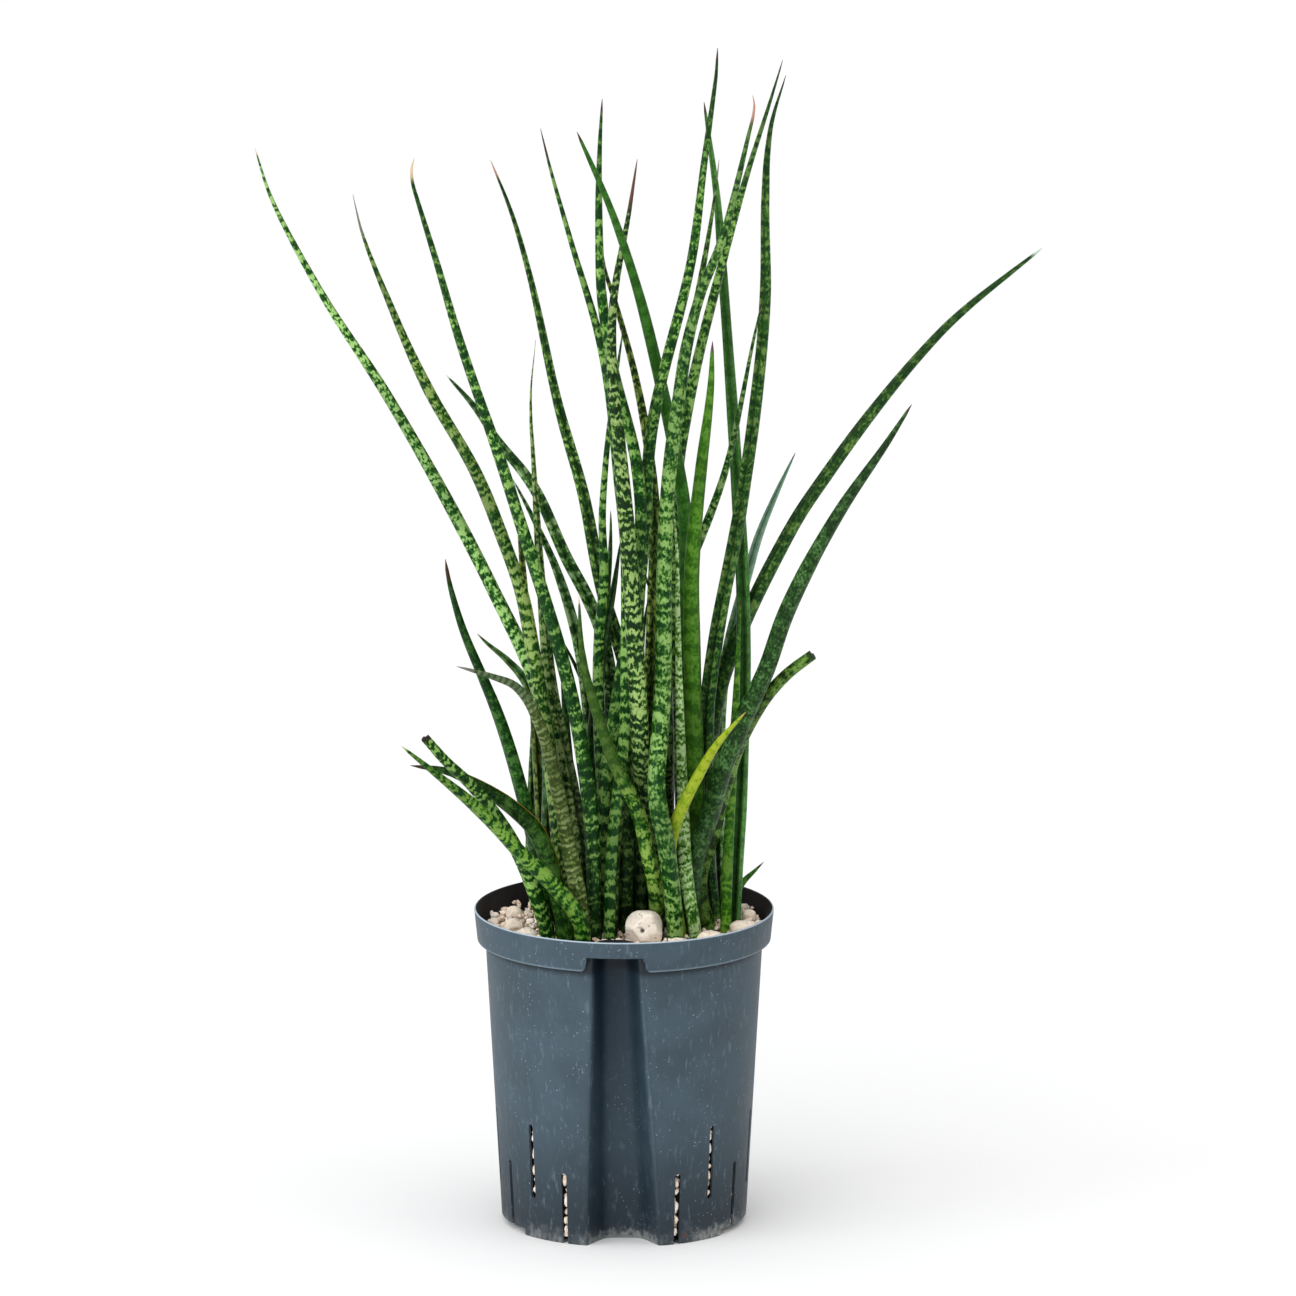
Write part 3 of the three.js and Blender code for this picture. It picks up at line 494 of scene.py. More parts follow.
# %% How each leaf looks
LOOKS = {
    "left": {
        1: mottled(TAN, 3, dusk=0, cover=0.54, band=3.4, pale=(146, 190, 108)),
        2: mottled(GREY, 20, bands=1.3, dusk=0, cover=0.46, band=3.4, green=(56, 92, 26),
                   pale=(130, 158, 84)),
        3: dark(BROWN, 10),
        4: mottled((34, 28, 20), 1, bands=1.5, dusk=0, cover=0.4, band=3.2, green=(52, 92, 18)),
        5: dark(BROWN, 5, margin=(214, 158, 60), lip=0.5, green=(42, 78, 20)),
        6: blue(margin=(130, 84, 44)),
        7: olive(BROWN, 14),
        8: mottled(bands=1.3, cover=0.36),
    },
    "front": {
        1: mottled(TAN, 10, dusk=0.7, cover=0.32, green=(40, 84, 38)),
        2: mottled((150, 172, 104), 3, bands=1.3, cover=0.44, band=3.2, zigzag=0.5, green=(56, 104, 26),
                   pale=(112, 152, 60)),
        3: olive(GREY, 7, rings=0.8, pale=(148, 166, 112), green=(88, 108, 66), deep=(40, 50, 26),
                 tint=(84, 104, 82), tint_from=0.72, contrast=0.6),
        4: mottled(BROWN, 14, bands=1.3, band=4.2),
        5: mottled(BROWN, 7, bands=1.3, band=5.6),
        6: mottled(GREY, 4, cover=0.5, band=3.4, pale=(146, 172, 104), green=(64, 98, 42), dusk=0.1),
        7: mottled(BROWN, 5, dusk=0.85, cover=0.38, band=3.8),
        8: dark(),
        9: mottled(PALE_TIP, 2, green=(58, 108, 42), pale=(136, 174, 112)),
        10: mottled(PALE_TIP, 3, green=(60, 108, 46), pale=(136, 174, 112)),
    },
    "centre": {
        1: mottled(PURPLE, 22, bands=1.25, cover=0.37, band=3.3, zigzag=0.9, deep=(8, 34, 12),
                   green=(40, 76, 28), pale=(140, 172, 96)),
        2: mottled(TAN, 3, margin=(150, 116, 46), cover=0.46, band=4.6, green=(56, 100, 22),
                   pale=(132, 168, 74), tint=(60, 88, 20), tint_from=0.5),
        3: mottled(bands=1.4, cover=0.44),
        4: olive(BROWN, 5, margin=(160, 108, 50)),
        5: mottled(PINK, 8, dusk=0.8, cover=0.4, green=(40, 82, 26), band=3.4),
        6: mottled(PURPLE, 12, bands=1.4, band=3.2, zigzag=0.8, pale=(138, 164, 78), green=(56, 88, 26),
                   deep=(16, 38, 10)),
        7: mottled(BROWN, 5, bands=1.4, cover=0.46),
        8: dark(BROWN, 4),
        9: blue(BROWN, 4, green=(56, 108, 50), dusk=0.2),
    },
    "right": {
        1: mottled(PINK, 12, dusk=0.7, cover=0.46, band=4.2, zigzag=0.2, green=(50, 94, 36),
                   pale=(126, 166, 88)),
        2: pale(band=2.6, contrast=1.2, cover=0.54),
        3: lime((170, 150, 70), 3),
        4: mottled(BROWN, 4, cover=0.4, gloss=0.1, band=5.0, bands=0.5, contrast=0.7, green=(36, 70, 32),
                   pale=(86, 130, 72), deep=(10, 34, 16)),
        5: olive((34, 56, 26), 1, band=5.0, green=(60, 96, 32), pale=(104, 140, 60), margin=(120, 84, 36)),
        6: bright((96, 62, 76), 5, green=(64, 112, 26), pale=(106, 150, 58), band=6.0, zigzag=0),
        7: mottled(BROWN, 6, dusk=0.7, cover=0.4, band=3.4, pale=(104, 138, 66)),
        8: bright(contrast=0.6, pale=(120, 162, 58)),
        9: blue(BROWN, 5, green=(66, 118, 68), pale=(104, 152, 92), bands=0.3, contrast=0.35),
        10: mottled(PALE_TIP, 5, cover=0.32, bands=0.5, contrast=0.8, band=4.6, green=(38, 76, 28),
                    pale=(98, 134, 60)),
        11: blue(green=(72, 120, 66), pale=(150, 184, 140), tint=(136, 172, 152), tint_from=0.6),
    },
    "back": {
        1: bright(BROWN, 4, green=(44, 96, 30), pale=(74, 128, 52), band=6.0),
        2: dark(GREY, 8, green=(76, 118, 52), pale=(150, 186, 116), dusk=0.2),
        3: mottled(BROWN, 5, dusk=0.85, cover=0.46, band=3.4, green=(56, 96, 42)),
        4: mottled(BROWN, 5, cover=0.48, band=3.4, pale=(136, 170, 98)),
        5: bright(BROWN, 4, green=(44, 92, 30)),
    },
}
print(sum(map(len, LOOKS.values())), "leaves have a row; the rest are dark fillers")

# %% [markdown]
# The pattern is grown in steps. A wave along the leaf gives the cross bands. Its level sags across the
# leaf, drifts along it and has fine teeth and chevrons, so that the bands come out ragged. Broad noise
# makes paler and darker stretches of the leaf, and fine noise breaks the bands up into flecks. Thresholds
# on the sum say where the skin is pale and where it is darkest.

# %% Pattern of the bands
SAG = -48
RING_SAG = -55
RING_PERIOD = 3.9 * MM
TOOTH = 2.1 * MM
PAST_EDGE = 50 * MM
STRETCH_SHARE, FLECK_SHARE, BAND_SHARE = 0.45, 0.55, 0.075


def stray(finish, noise, reach):
    """A noise about 0.5 as a move up and down."""
    return finish.times(finish.minus(noise, 0.5), reach)


def sagging(skin, place, sag):
    """The height along a leaf, lower in its middle line, and the place across."""
    across = skin.axis(place, "X")
    return skin.plus(skin.axis(place, "Z"), skin.times(across, across, sag)), across


def leaf_pattern(skin, place, look):
    """A value about 0.5 that rises in the pale bands, and the noise of the flecks."""
    height, across = sagging(skin, place, SAG)
    teeth = stray(skin, skin.noise(place, (620, 620, 150), 1), (7.5 - 3 * look["zigzag"]) * MM)
    chevrons = skin.math("PINGPONG", skin.plus(across, PAST_EDGE), TOOTH)
    drift = stray(skin, skin.noise(place, (30, 30, 45), 2), 30 * MM)
    level = skin.plus(height, teeth, skin.times(chevrons, 1.1 * look["zigzag"]), drift)
    wave = skin.math("SINE", skin.times(level, math.pi / (look["band"] * MM)))
    stretches = skin.noise(place, (90, 90, 110), 2)
    flecks = skin.noise(place, (560, 560, 520), 2)
    value = skin.plus(skin.times(stretches, STRETCH_SHARE), skin.times(flecks, FLECK_SHARE),
                      skin.times(wave, BAND_SHARE * look["bands"]))
    return value, flecks


def old_rings(skin, place):
    """Ring marks that sag in the middle, as a value from 0 to 1."""
    height, _ = sagging(skin, place, RING_SAG)
    level = skin.plus(height, skin.times(skin.noise(place, 260, 2), 5 * MM))
    return skin.span(skin.math("SINE", skin.times(level, 2 * math.pi / RING_PERIOD)), -0.6, 0.9)


print("bands every", 2 * USUAL["band"], "mm, ring marks every", round(RING_PERIOD / MM, 1), "mm")

# %% [markdown]
# Coats of colour go over the green in turn: the darkest and the pale parts of the pattern, then what only
# some leaves have, then broad darker patches, the dusky top and painted shade in the channel. Deep among the
# other leaves and near the pumice little light reaches the skin, and painted shade sinks its colour to a
# blackish green there. The lips are browner, and the tip is dry.

# %% Leaf finish
RICHER = {"deep": (1, 1.08, 0.5), "green": (1.04, 1.08, 0.72), "pale": (1.06, 1.03, 1.06)}
PAINTED_SHADE_GREEN = (3, 12, 3)


def leaf_finish(name):
    group, number = name.split("_leaf_")
    look = LOOKS[group].get(int(number)) or dark()
    # The even glow adds grey and blue to dark colours, so the table's greens are made richer.
    deep, green, pale = ([value * share for value, share in zip(look[key], RICHER[key])]
                         for key in ("deep", "green", "pale"))
    skin = Finish("leaf " + name, green)
    place = skin.attribute("straight", "Vector")
    value, flecks = leaf_pattern(skin, place, look)
    grain = skin.noise(place, (1500, 1500, 500), 2)
    edge = 0.5 + (0.5 - look["cover"]) * 0.28
    strength = min(1, look["contrast"])
    skin.coat(value, edge - 0.02, edge - 0.11, min(1, strength + 0.2), deep)
    skin.coat(value, edge - 0.02, edge + 0.07, strength, pale)
    if "tint" in look:
        start = look["tint_from"]
        skin.coat(skin.attribute("along"), start, start + 0.12, 0.75, look["tint"])
    if look["rings"]:
        skin.cover(deep, old_rings(skin, place), look["rings"])
    skin.coat(skin.noise(place, (30, 30, 9), 1), 0.38, 0.7, 0.5, deep)
    skin.coat(skin.attribute("to_tip"), 110 * MM, 12 * MM, look["dusk"], deep)
    skin.coat(grain, 0.5, 0.8, 0.3, deep)
    # Painted shade along the bottom of the leaf's channel.
    skin.coat(skin.attribute("hollow"), 0.3, 1.0, 0.6, deep)
    # Painted shade: a blackish green deep among the leaves and low down, where little light comes.
    skin.cover(PAINTED_SHADE_GREEN, skin.attribute("inner"), 0.8)
    skin.coat(skin.attribute("lip"), look["lip"], look["lip"] + 0.16, 0.75, look["margin"])
    to_tip = skin.plus(skin.attribute("to_tip"), skin.times(flecks, 4 * MM))
    dry = look["dry"] * MM
    skin.coat(to_tip, dry * 1.6 + 3 * MM, dry * 0.9 + 2 * MM, 1, look["tip"])
    smoothest, roughest = 0.34 - look["gloss"] * 0.3, 0.50 - look["gloss"] * 0.4
    furrows = skin.noise(place, (1100, 1100, 30), 2)
    return skin.done(skin.span(grain, 0.3, 0.7, smoothest, roughest), 0.14,
                     skin.plus(furrows, skin.times(grain, 0.4)), 0.3 * MM, 0.6)


print("a mottled leaf's green, richer:", [round(value * share) for value, share in
                                         zip(mottled()["green"], RICHER["green"])])


def settle_in(piece, node):
    """Ties a visible piece to its solid: it moves with the plant and hides the solid."""
    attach(piece, "root")
    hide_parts(node)


def dress(item, *finishes):
    item.data.materials.clear()
    for finish in finishes:
        item.data.materials.append(finish)


def add_piece(mesh, finish, node):
    piece = add(mesh.name, mesh)
    dress(piece, finish)
    settle_in(piece, node)


triangles = 0
for index, name in enumerate(leaf_nodes):
    mesh = leaf_skin(name, index)
    add_piece(mesh, leaf_finish(name), name)
    triangles += 2 * len(mesh.polygons)
print(len(leaf_nodes), "leaf skins,", triangles, "triangles")

# %% [markdown]
# The pot is one moulding: a thin tapered wall, a band under a rounded rim, an upright channel in front that
# a gauge would stand in, slots for water and a lobed lower edge. It is cut like the tool that moulds it
# would be: a solid of the outside, less a solid of the inside, less the slots. Turned outlines give the
# rounded edges.

# %% Pot sizes
POT_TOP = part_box("pot")[1].z
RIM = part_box("pot")[1].x
WALL = 1.6 * MM
POT_FLOOR = 1.8 * MM
FOOT = 73.3 * MM
SHOULDER = 83.3 * MM
BAND = 88.2 * MM
BAND_FOOT = POT_TOP - 19 * MM
LIP = 0.8 * MM
EDGE = 0.7 * MM
ABOVE = 4 * MM
AXIS = 0.01 * MM
SIDES = 180
print(f"pot {2 * RIM / MM:.0f} mm wide, {POT_TOP / MM:.0f} mm high")

# %% Tools for turning, lofting and cutting


def loft(name, rings):
    """A closed skin over rings of equal count, with a flat face at each end."""
    caps, quads = net(len(rings), len(rings[0]))
    mesh = new_mesh(name, [point for ring in rings for point in ring], caps + quads)
    mesh.update()
    return add(name, mesh)


def turn(name, profile):
    """A turned solid from [radius, height] points, from its lower end to its upper end."""
    angles = [2 * math.pi * i / SIDES for i in range(SIDES)]
    return loft(name, [[(radius * math.cos(a), radius * math.sin(a), height) for a in angles]
                       for radius, height in profile])


def combine(target, other, operation):
    """Cuts or joins by another shape, which is used up."""
    change = target.modifiers.new(operation, "BOOLEAN")
    change.operation = operation
    change.object = other
    change.solver = "MANIFOLD"
    settled = target.evaluated_get(bpy.context.evaluated_depsgraph_get())
    mesh = bpy.data.meshes.new_from_object(settled)
    target.modifiers.clear()
    target.data = mesh
    bpy.data.objects.remove(other)
    return target


def cut(target, other):
    return combine(target, other, "DIFFERENCE")


def arc(centre, radius, start, end, steps=8):
    """Points on a round from one angle to another, in degrees."""
    turns = [math.radians(start + (end - start) * i / steps) for i in range(steps + 1)]
    return [(centre[0] + radius * math.cos(a), centre[1] + radius * math.sin(a)) for a in turns]


print("a quarter round has", len(arc((0, 0), 1, 0, 90)), "points")

# %% The channel's outline at a height
# Each pair is a size at the foot and at the shoulder.
CHANNEL_X = (-0.5 * MM, -5 * MM)
CHANNEL_HALF = (24 * MM, 16.5 * MM)
CHANNEL_FLAT = (6 * MM, 3.5 * MM)
CHANNEL_DEPTH = (19 * MM, 20 * MM)
CHANNEL_LIP = (2.6 * MM, 2.4 * MM)
CHANNEL_CORNER = (8 * MM, 6 * MM)
CHANNEL_CEILING = 185.4 * MM
LEAST_LIP = 0.1 * MM
MOUTH = 16 * MM


def between(ends, share):
    return ends[0] + (ends[1] - ends[0]) * share


def channel_ring(height, grow):
    """The outline: on each side a lip that rolls in from the wall, a slanted wall and a back corner."""
    share = height / BAND_FOOT
    wall, middle, half, flat, depth, lip, corner = (
        between(ends, share) for ends in
        ((FOOT, SHOULDER), CHANNEL_X, CHANNEL_HALF, CHANNEL_FLAT, CHANNEL_DEPTH, CHANNEL_LIP, CHANNEL_CORNER))
    bearings = [math.asin((middle + side * half) / wall) for side in (-1, 1)]
    back = depth - wall * (math.cos(bearings[0]) + math.cos(bearings[1])) / 2
    sides = []
    for side, bearing in zip((-1, 1), bearings):
        lip_x, lip_y = (wall - lip) * math.sin(bearing), -(wall - lip) * math.cos(bearing)
        across, along = side * (lip_x - middle) - flat, back - corner - lip_y
        lean = math.acos((lip + corner) / math.hypot(across, along)) - math.atan2(along, across)
        slant = math.degrees(lean)
        lip_end = -180 + slant if side == 1 else -slant
        rolled = arc((lip_x, lip_y), max(lip - grow, LEAST_LIP), math.degrees(bearing) - 90, lip_end, 10)
        corner_start = slant if side == 1 else 180 - slant
        turned = arc((middle + side * flat, back - corner), corner + grow, corner_start, 90, 10)
        out = (wall + MOUTH) * math.sin(bearing), -(wall + MOUTH) * math.cos(bearing)
        sides.append([out, *rolled, *turned])
    left, right = sides
    return [(x, y, height) for x, y in right + left[::-1]]


def channel(grow, top):
    return loft("channel", [channel_ring(-ABOVE, grow), channel_ring(top, grow)])


print(len(channel_ring(0, 0)), "points round the channel at the foot")

# %% The notch over the channel and the steps of the lower edge
NOTCH_TOP = 182 * MM
NOTCH_HALF = 18 * MM
NOTCH_CORNER = 5 * MM
NOTCH_FLARE = 4 * MM
STEP_HEIGHT = 4 * MM
STEP_RADIUS = 66 * MM
STEP_SECTORS = [(52, 126), (162, 196), (232, 306)]


def notch(grow):
    half, top, corner = NOTCH_HALF + grow, NOTCH_TOP + grow, NOTCH_CORNER + grow
    wide, flare = half + NOTCH_FLARE, BAND_FOOT + NOTCH_FLARE
    outline = [(-wide, BAND_FOOT - ABOVE), (wide, BAND_FOOT - ABOVE)]
    outline += arc((wide, flare), NOTCH_FLARE, 270, 180)
    outline += arc((half - corner, top - corner), corner, 0, 90)
    outline += arc((corner - half, top - corner), corner, 90, 180)
    outline += arc((-wide, flare), NOTCH_FLARE, 0, -90)
    return loft("notch", [[(x + CHANNEL_X[1], y, z) for x, z in outline] for y in (0, -RIM - ABOVE)])


def cut_steps(body, grow):
    spread = math.degrees(grow / FOOT)
    for first, last in STEP_SECTORS:
        start, end = first - 90 - spread, last - 90 + spread
        outline = arc((0, 0), FOOT + ABOVE, start, end, 24) + arc((0, 0), STEP_RADIUS - grow, end, start, 24)
        step = loft("step", [[(x, y, z) for x, y in outline] for z in (-ABOVE, STEP_HEIGHT + grow)])
        cut(body, step)


print(f"notch {2 * NOTCH_HALF / MM:.0f} mm wide,", len(STEP_SECTORS), "steps in the lower edge")

# %% The slots
SLOTS = 18
SLOT_FIRST = 25.4
SLOT_WIDTH = 3.6 * MM
SLOT_INNER = 62 * MM
OPEN_REACH, CLOSED_REACH = (-ABOVE, 44 * MM), (25 * MM, 71 * MM)


def open_below(index):
    """Whether a slot runs out at the foot. The kinds take turns from the front."""
    return min(index, SLOTS - 1 - index) % 2 == 0


def slot_reach(index):
    return OPEN_REACH if open_below(index) else CLOSED_REACH


def slot_angle(index):
    return math.radians(SLOT_FIRST + 360 / (SLOTS + 2) * index - 90)


def slot(index):
    bottom, top = slot_reach(index)
    half = SLOT_WIDTH / 2
    if open_below(index):
        inner = SLOT_INNER
        outline = [(half, bottom), *arc((0, top - half), half, 0, 180), (-half, bottom)]
    else:
        inner = FOOT - 2 * WALL
        outline = arc((0, top - half), half, 0, 180) + arc((0, bottom + half), half, 180, 360)
    facing = Matrix.Rotation(slot_angle(index), 3, "Z")
    rings = [[facing @ Vector((radius, u, z)) for u, z in outline] for radius in (inner, RIM + ABOVE)]
    return loft("slot", rings)


print(sum(map(open_below, range(SLOTS))), "of", SLOTS, "slots run out at the foot")

# %% Cut the pot
UNDER_BAND = 2 * MM


def outside():
    foot = arc((FOOT - EDGE, EDGE), EDGE, 270, 356, 4)
    neck = POT_TOP - UNDER_BAND
    body = turn("pot", [(AXIS, 0), *foot, (SHOULDER, BAND_FOOT), (SHOULDER, neck), (AXIS, neck)])
    band_edge = arc((BAND - EDGE, BAND_FOOT + EDGE), EDGE, 270, 360, 4)
    rim = arc((RIM - LIP, POT_TOP - LIP), LIP, 0, 90, 6)
    band = turn("band", [(AXIS, BAND_FOOT), *band_edge, *rim, (AXIS, POT_TOP)])
    combine(body, cut(band, notch(0)), "UNION")
    cut_steps(body, 0)
    return body


def inside():
    top, narrow, wide, shelf = POT_TOP + ABOVE, SHOULDER - WALL, BAND - WALL, BAND_FOOT + WALL
    body = turn("inside", [(AXIS, POT_FLOOR), (FOOT - WALL, POT_FLOOR), (narrow, BAND_FOOT), (narrow, top),
                           (AXIS, top)])
    mouth = RIM - WALL + LIP
    flare = arc((mouth, POT_TOP - LIP), LIP, 180, 90, 6)
    band = turn("inside band", [(AXIS, shelf), (wide, shelf), *flare, (mouth, top), (AXIS, top)])
    combine(body, cut(band, notch(WALL)), "UNION")
    cut_steps(body, WALL)
    return cut(body, channel(WALL, CHANNEL_CEILING + WALL))


in_band = turn("in band", [(AXIS, -ABOVE), (BAND - WALL, -ABOVE), (BAND - WALL, POT_TOP), (AXIS, POT_TOP)])
pot = outside()
cut(pot, channel(0, NOTCH_TOP))
cut(pot, combine(channel(0, CHANNEL_CEILING), in_band, "INTERSECT"))
hollow = inside()
hollow_tree = BVHTree.FromObject(hollow, bpy.context.evaluated_depsgraph_get())
cut(pot, hollow)
for index in range(SLOTS):
    cut(pot, slot(index))
print("pot:", len(pot.data.polygons), "faces, box", [round(v / MM, 1) for v in pot.dimensions])

# %% Weld slivers and shade by angle
SLIVER = 0.004 * MM
SHARP = math.radians(28)
work = bmesh.new()
work.from_mesh(pot.data)
bmesh.ops.remove_doubles(work, verts=work.verts, dist=SLIVER)
bmesh.ops.dissolve_degenerate(work, edges=work.edges, dist=SLIVER)
work.to_mesh(pot.data)
work.free()
pot.data.shade_smooth()
pot.data.set_sharp_from_angle(angle=SHARP)
print("pot welded:", len(pot.data.polygons), "faces")

# %% [markdown]
# The plastic is slate blue outside, scuffed and dusty, with painted shade darkening it towards the foot. A
# crust of lime lies along the lower edge and in the arch, one rusty stain beside it, and a painted highlight
# runs along the rim's edge. Painted shade makes the channel darker and bluer than the wall, and painted
# shadow lies below the band and its notch.

# %% Pot finish: scuffs, dust, lime, painted shade at the foot and a painted highlight on the rim
SLATE, SLATE_DUSTY, SLATE_PAINTED_FOOT_SHADE = (54, 69, 79), (65, 82, 93), (30, 40, 48)
LIME = (146, 148, 146)
STAIN = (36 * MM, -63 * MM, 5 * MM)


def add_wear_and_painted_light(case, place, height, scuff, scratch, ragged):
    """Scuffs, scratches and specks of dust, lime at the foot and a stain, with painted shade towards the foot
    and a painted highlight on the rim.
    """
    # Painted shade: the slate darkens towards the foot.
    case.coat(height, 90 * MM, 5 * MM, 0.85, SLATE_PAINTED_FOOT_SHADE)
    case.coat(scuff, 0.54, 0.74, 0.38, (116, 133, 146))
    case.coat(scratch, 0.66, 0.8, 0.2, (132, 147, 158))
    specks = case.span(case.cells(place, 330), 0.16, 0.08)
    case.cover((170, 182, 190), specks, case.span(case.noise(place, 45), 0.45, 0.62, 0, 0.6))
    patches = case.span(case.noise(place, (24, 24, 10), 2), 0.38, 0.62, 0.12, 0.85)
    case.cover(LIME, case.span(ragged, 0, -10 * MM), case.span(scuff, 0.35, 0.6, 0.3, 1), patches)
    # Painted highlight: a pale bluish line along the rim's rounded lip.
    case.coat(height, POT_TOP - 0.9 * MM, POT_TOP - 0.2 * MM, 0.8, (190, 206, 220))
    stain = case.node("VectorMath", {0: place, 1: STAIN}, "Value", operation="DISTANCE")
    case.coat(case.plus(stain, case.times(scuff, 4 * MM)), 5 * MM, 2 * MM, 0.6, (112, 62, 46))


print("slate blue in linear values:", [round(value, 3) for value in rgb(*SLATE)[:3]])

# %% Pot finish: painted shade in the channel and painted shadow under the band


def add_shade(case, place, height, ragged):
    flat = case.stretch(place, (1, 1, 0))
    reach = case.node("VectorMath", {0: flat}, "Value", operation="LENGTH")
    wall = case.plus(case.times(height, (SHOULDER - FOOT) / BAND_FOOT), FOOT)
    sunk = case.minus(wall, reach)
    side = case.axis(place, "X")
    # Painted shade in the channel: darker and bluer where the wall is sunk, more so higher up and on the
    # left.
    case.cover((12, 32, 46), case.span(sunk, 1.5 * MM, 7 * MM),
               case.span(height, 40 * MM, 178 * MM, 0.35, 0.95), case.span(side, -16 * MM, 10 * MM, 1, 0.72))
    # Painted shadow under the notch's top edge and under the band.
    beside = case.math("ABSOLUTE", case.minus(side, CHANNEL_X[1]))
    under_notch = case.times(case.span(height, BAND_FOOT - 2 * MM, NOTCH_TOP, 0, 0.8),
                             case.span(beside, NOTCH_HALF + 2 * MM, NOTCH_HALF))
    under_band = case.span(height, BAND_FOOT - 6 * MM, BAND_FOOT - 1 * MM, 0, 0.75)
    case.cover((12, 20, 26), case.math("MAXIMUM", under_notch, under_band),
               case.span(reach, SHOULDER + 1 * MM, SHOULDER + 0.4 * MM))
    # A lighter line along the band's rounded lower edge.
    case.cover((120, 138, 150), case.span(height, BAND_FOOT + 1.6 * MM, BAND_FOOT + 0.4 * MM, 0, 0.6),
               case.span(reach, BAND - 1.2 * MM, BAND - 0.4 * MM))
    case.cover((150, 154, 152), case.span(sunk, 1 * MM, 4 * MM, 0, 0.5), case.span(ragged, -5 * MM, -10 * MM))


print(f"the wall leans out by {(SHOULDER - FOOT) / MM:.0f} mm up to the shoulder")

# %% Pot finish: outside


def pot_outside():
    case = Finish("pot outside", SLATE)
    place = case.place()
    height = case.axis(place, "Z")
    cloud = case.noise(place, 30, 5, 0.6)
    scuff = case.noise(place, (340, 340, 110), 5, 0.65)
    scratch = case.noise(place, (900, 900, 24), 3, 0.6)
    ragged = case.plus(height, case.times(case.noise(place, 260, 5, 0.7), -22 * MM))
    case.coat(cloud, 0.3, 0.7, 1, SLATE_DUSTY)
    add_wear_and_painted_light(case, place, height, scuff, scratch, ragged)
    add_shade(case, place, height, ragged)
    relief = case.plus(scuff, case.times(scratch, 0.5))
    return case.done(case.span(cloud, 0.3, 0.7, 0.46, 0.6), 0.26, relief, 0.25 * MM, 0.3)


outer_finish = pot_outside()
print("pot outside:", len(outer_finish.node_tree.nodes), "nodes")

# %% [markdown]
# Inside, the same plastic is nearly black with painted shade. Faces that lie on the solid of the inside get
# that second finish.

# %% Finish the pot
ON_SURFACE = 0.02 * MM


def shaded_pot_inside():
    # Painted shade: the plastic as outside, coloured nearly black as it looks in the shade inside the pot.
    case = Finish("pot inside", (20, 20, 24))
    cloud = case.noise(case.place(), 60, 4, 0.6)
    case.coat(cloud, 0.35, 0.75, 1, (40, 38, 40))
    return case.done(0.6, 0.3, cloud, 0.2 * MM, 0.3)


dress(pot, outer_finish, shaded_pot_inside())
inner_faces = 0
for face in pot.data.polygons:
    _, _, _, distance = hollow_tree.find_nearest(face.center)
    face.material_index = int(distance < ON_SURFACE)
    inner_faces += face.material_index
pot.name = "pot_moulding"
settle_in(pot, "pot")
print(inner_faces, "inner faces of", len(pot.data.polygons))

# %% [markdown]
# Pumice fills the pot to a centimetre under its rim. A core fills most of the space, dark with the painted
# shade that lies between the grains, and grains cover it: two layers and small chips on top, a row behind
# each slot and small ones wedged in the slots. The grains are scattered by chance from a fixed seed, and
# pushed apart a little so that they lie side by side. One that would poke through the pot's wall is moved
# inward, and one that would come through the channel's wall is left out.

# %% A handful of grain shapes
GRAIN_SHAPES = 14
KNOBS, FLATS = 9, 14
ROUGHNESS = 0.022


def any_way(chance):
    return Vector([chance.gauss(0, 1) for _ in range(3)]).normalized()


def grain_shape(seed):
    work = bmesh.new()
    bmesh.ops.create_icosphere(work, subdivisions=2, radius=0.5)
    chance = random.Random(seed)
    knobs = [(any_way(chance), chance.uniform(-0.2, 0.2)) for _ in range(KNOBS)]
    flats = [(any_way(chance), chance.uniform(0.27, 0.42)) for _ in range(FLATS)]
    for vertex in work.verts:
        ray = vertex.co.normalized()
        reach = 0.5 + sum(size * math.exp(-6 * (1 - ray.dot(way))) for way, size in knobs)
        for way, limit in flats:
            if ray.dot(way) > 0.2:
                reach = min(reach, limit / ray.dot(way) + 0.01)
        vertex.co = ray * (reach + ROUGHNESS * chance.uniform(-1, 1))
    points = np.array([vertex.co[:] for vertex in work.verts])
    faces = np.array([[vertex.index for vertex in face.verts] for face in work.faces])
    work.free()
    return points, faces


grain_shapes = [grain_shape(40 + i) for i in range(GRAIN_SHAPES)]
print("grain shapes:", GRAIN_SHAPES, "with", len(grain_shapes[0][1]), "triangles each")

# %% What the top grains have to keep clear of
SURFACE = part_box("back_leaf_6")[0].z + 30 * MM
LEAF_LEVEL = 3 * MM
STONE_SHARE = 0.42
HOUSING = [(-5, -68, 9.5), (-12, -76, 9), (2, -76, 9), (-5, -79, 15), (-20, -81, 8), (10, -81, 8)]


def feet_of_leaves(height):
    """Where each leaf passes a height: its centre on the plan and its radius."""
    feet = []
    for stations in stations_of.values():
        for low, high in zip(stations, stations[1:]):
            if low["centre"].z <= height < high["centre"].z:
                share = (height - low["centre"].z) / (high["centre"].z - low["centre"].z)
                spot = low["centre"].lerp(high["centre"], share)
                feet.append((spot.x, spot.y, 0.5 * between((low["width"], high["width"]), share)))
                break
    return feet


posts = feet_of_leaves(SURFACE + LEAF_LEVEL)
stone_nodes = sorted(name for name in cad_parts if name.startswith("stone_"))
stones_on_plan = []
for name in stone_nodes:
    low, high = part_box(name)
    across = min(high.x - low.x, high.y - low.y)
    stones_on_plan.append(((low.x + high.x) / 2, (low.y + high.y) / 2, STONE_SHARE * across))
channel_on_plan = [(x * MM, y * MM, radius * MM) for x, y, radius in HOUSING]
print(len(posts), "leaves,", len(stones_on_plan), "stones and the channel's housing to keep clear of")

# %% Lay out the top grains
FIELD = 84.5 * MM
PASSES = 60


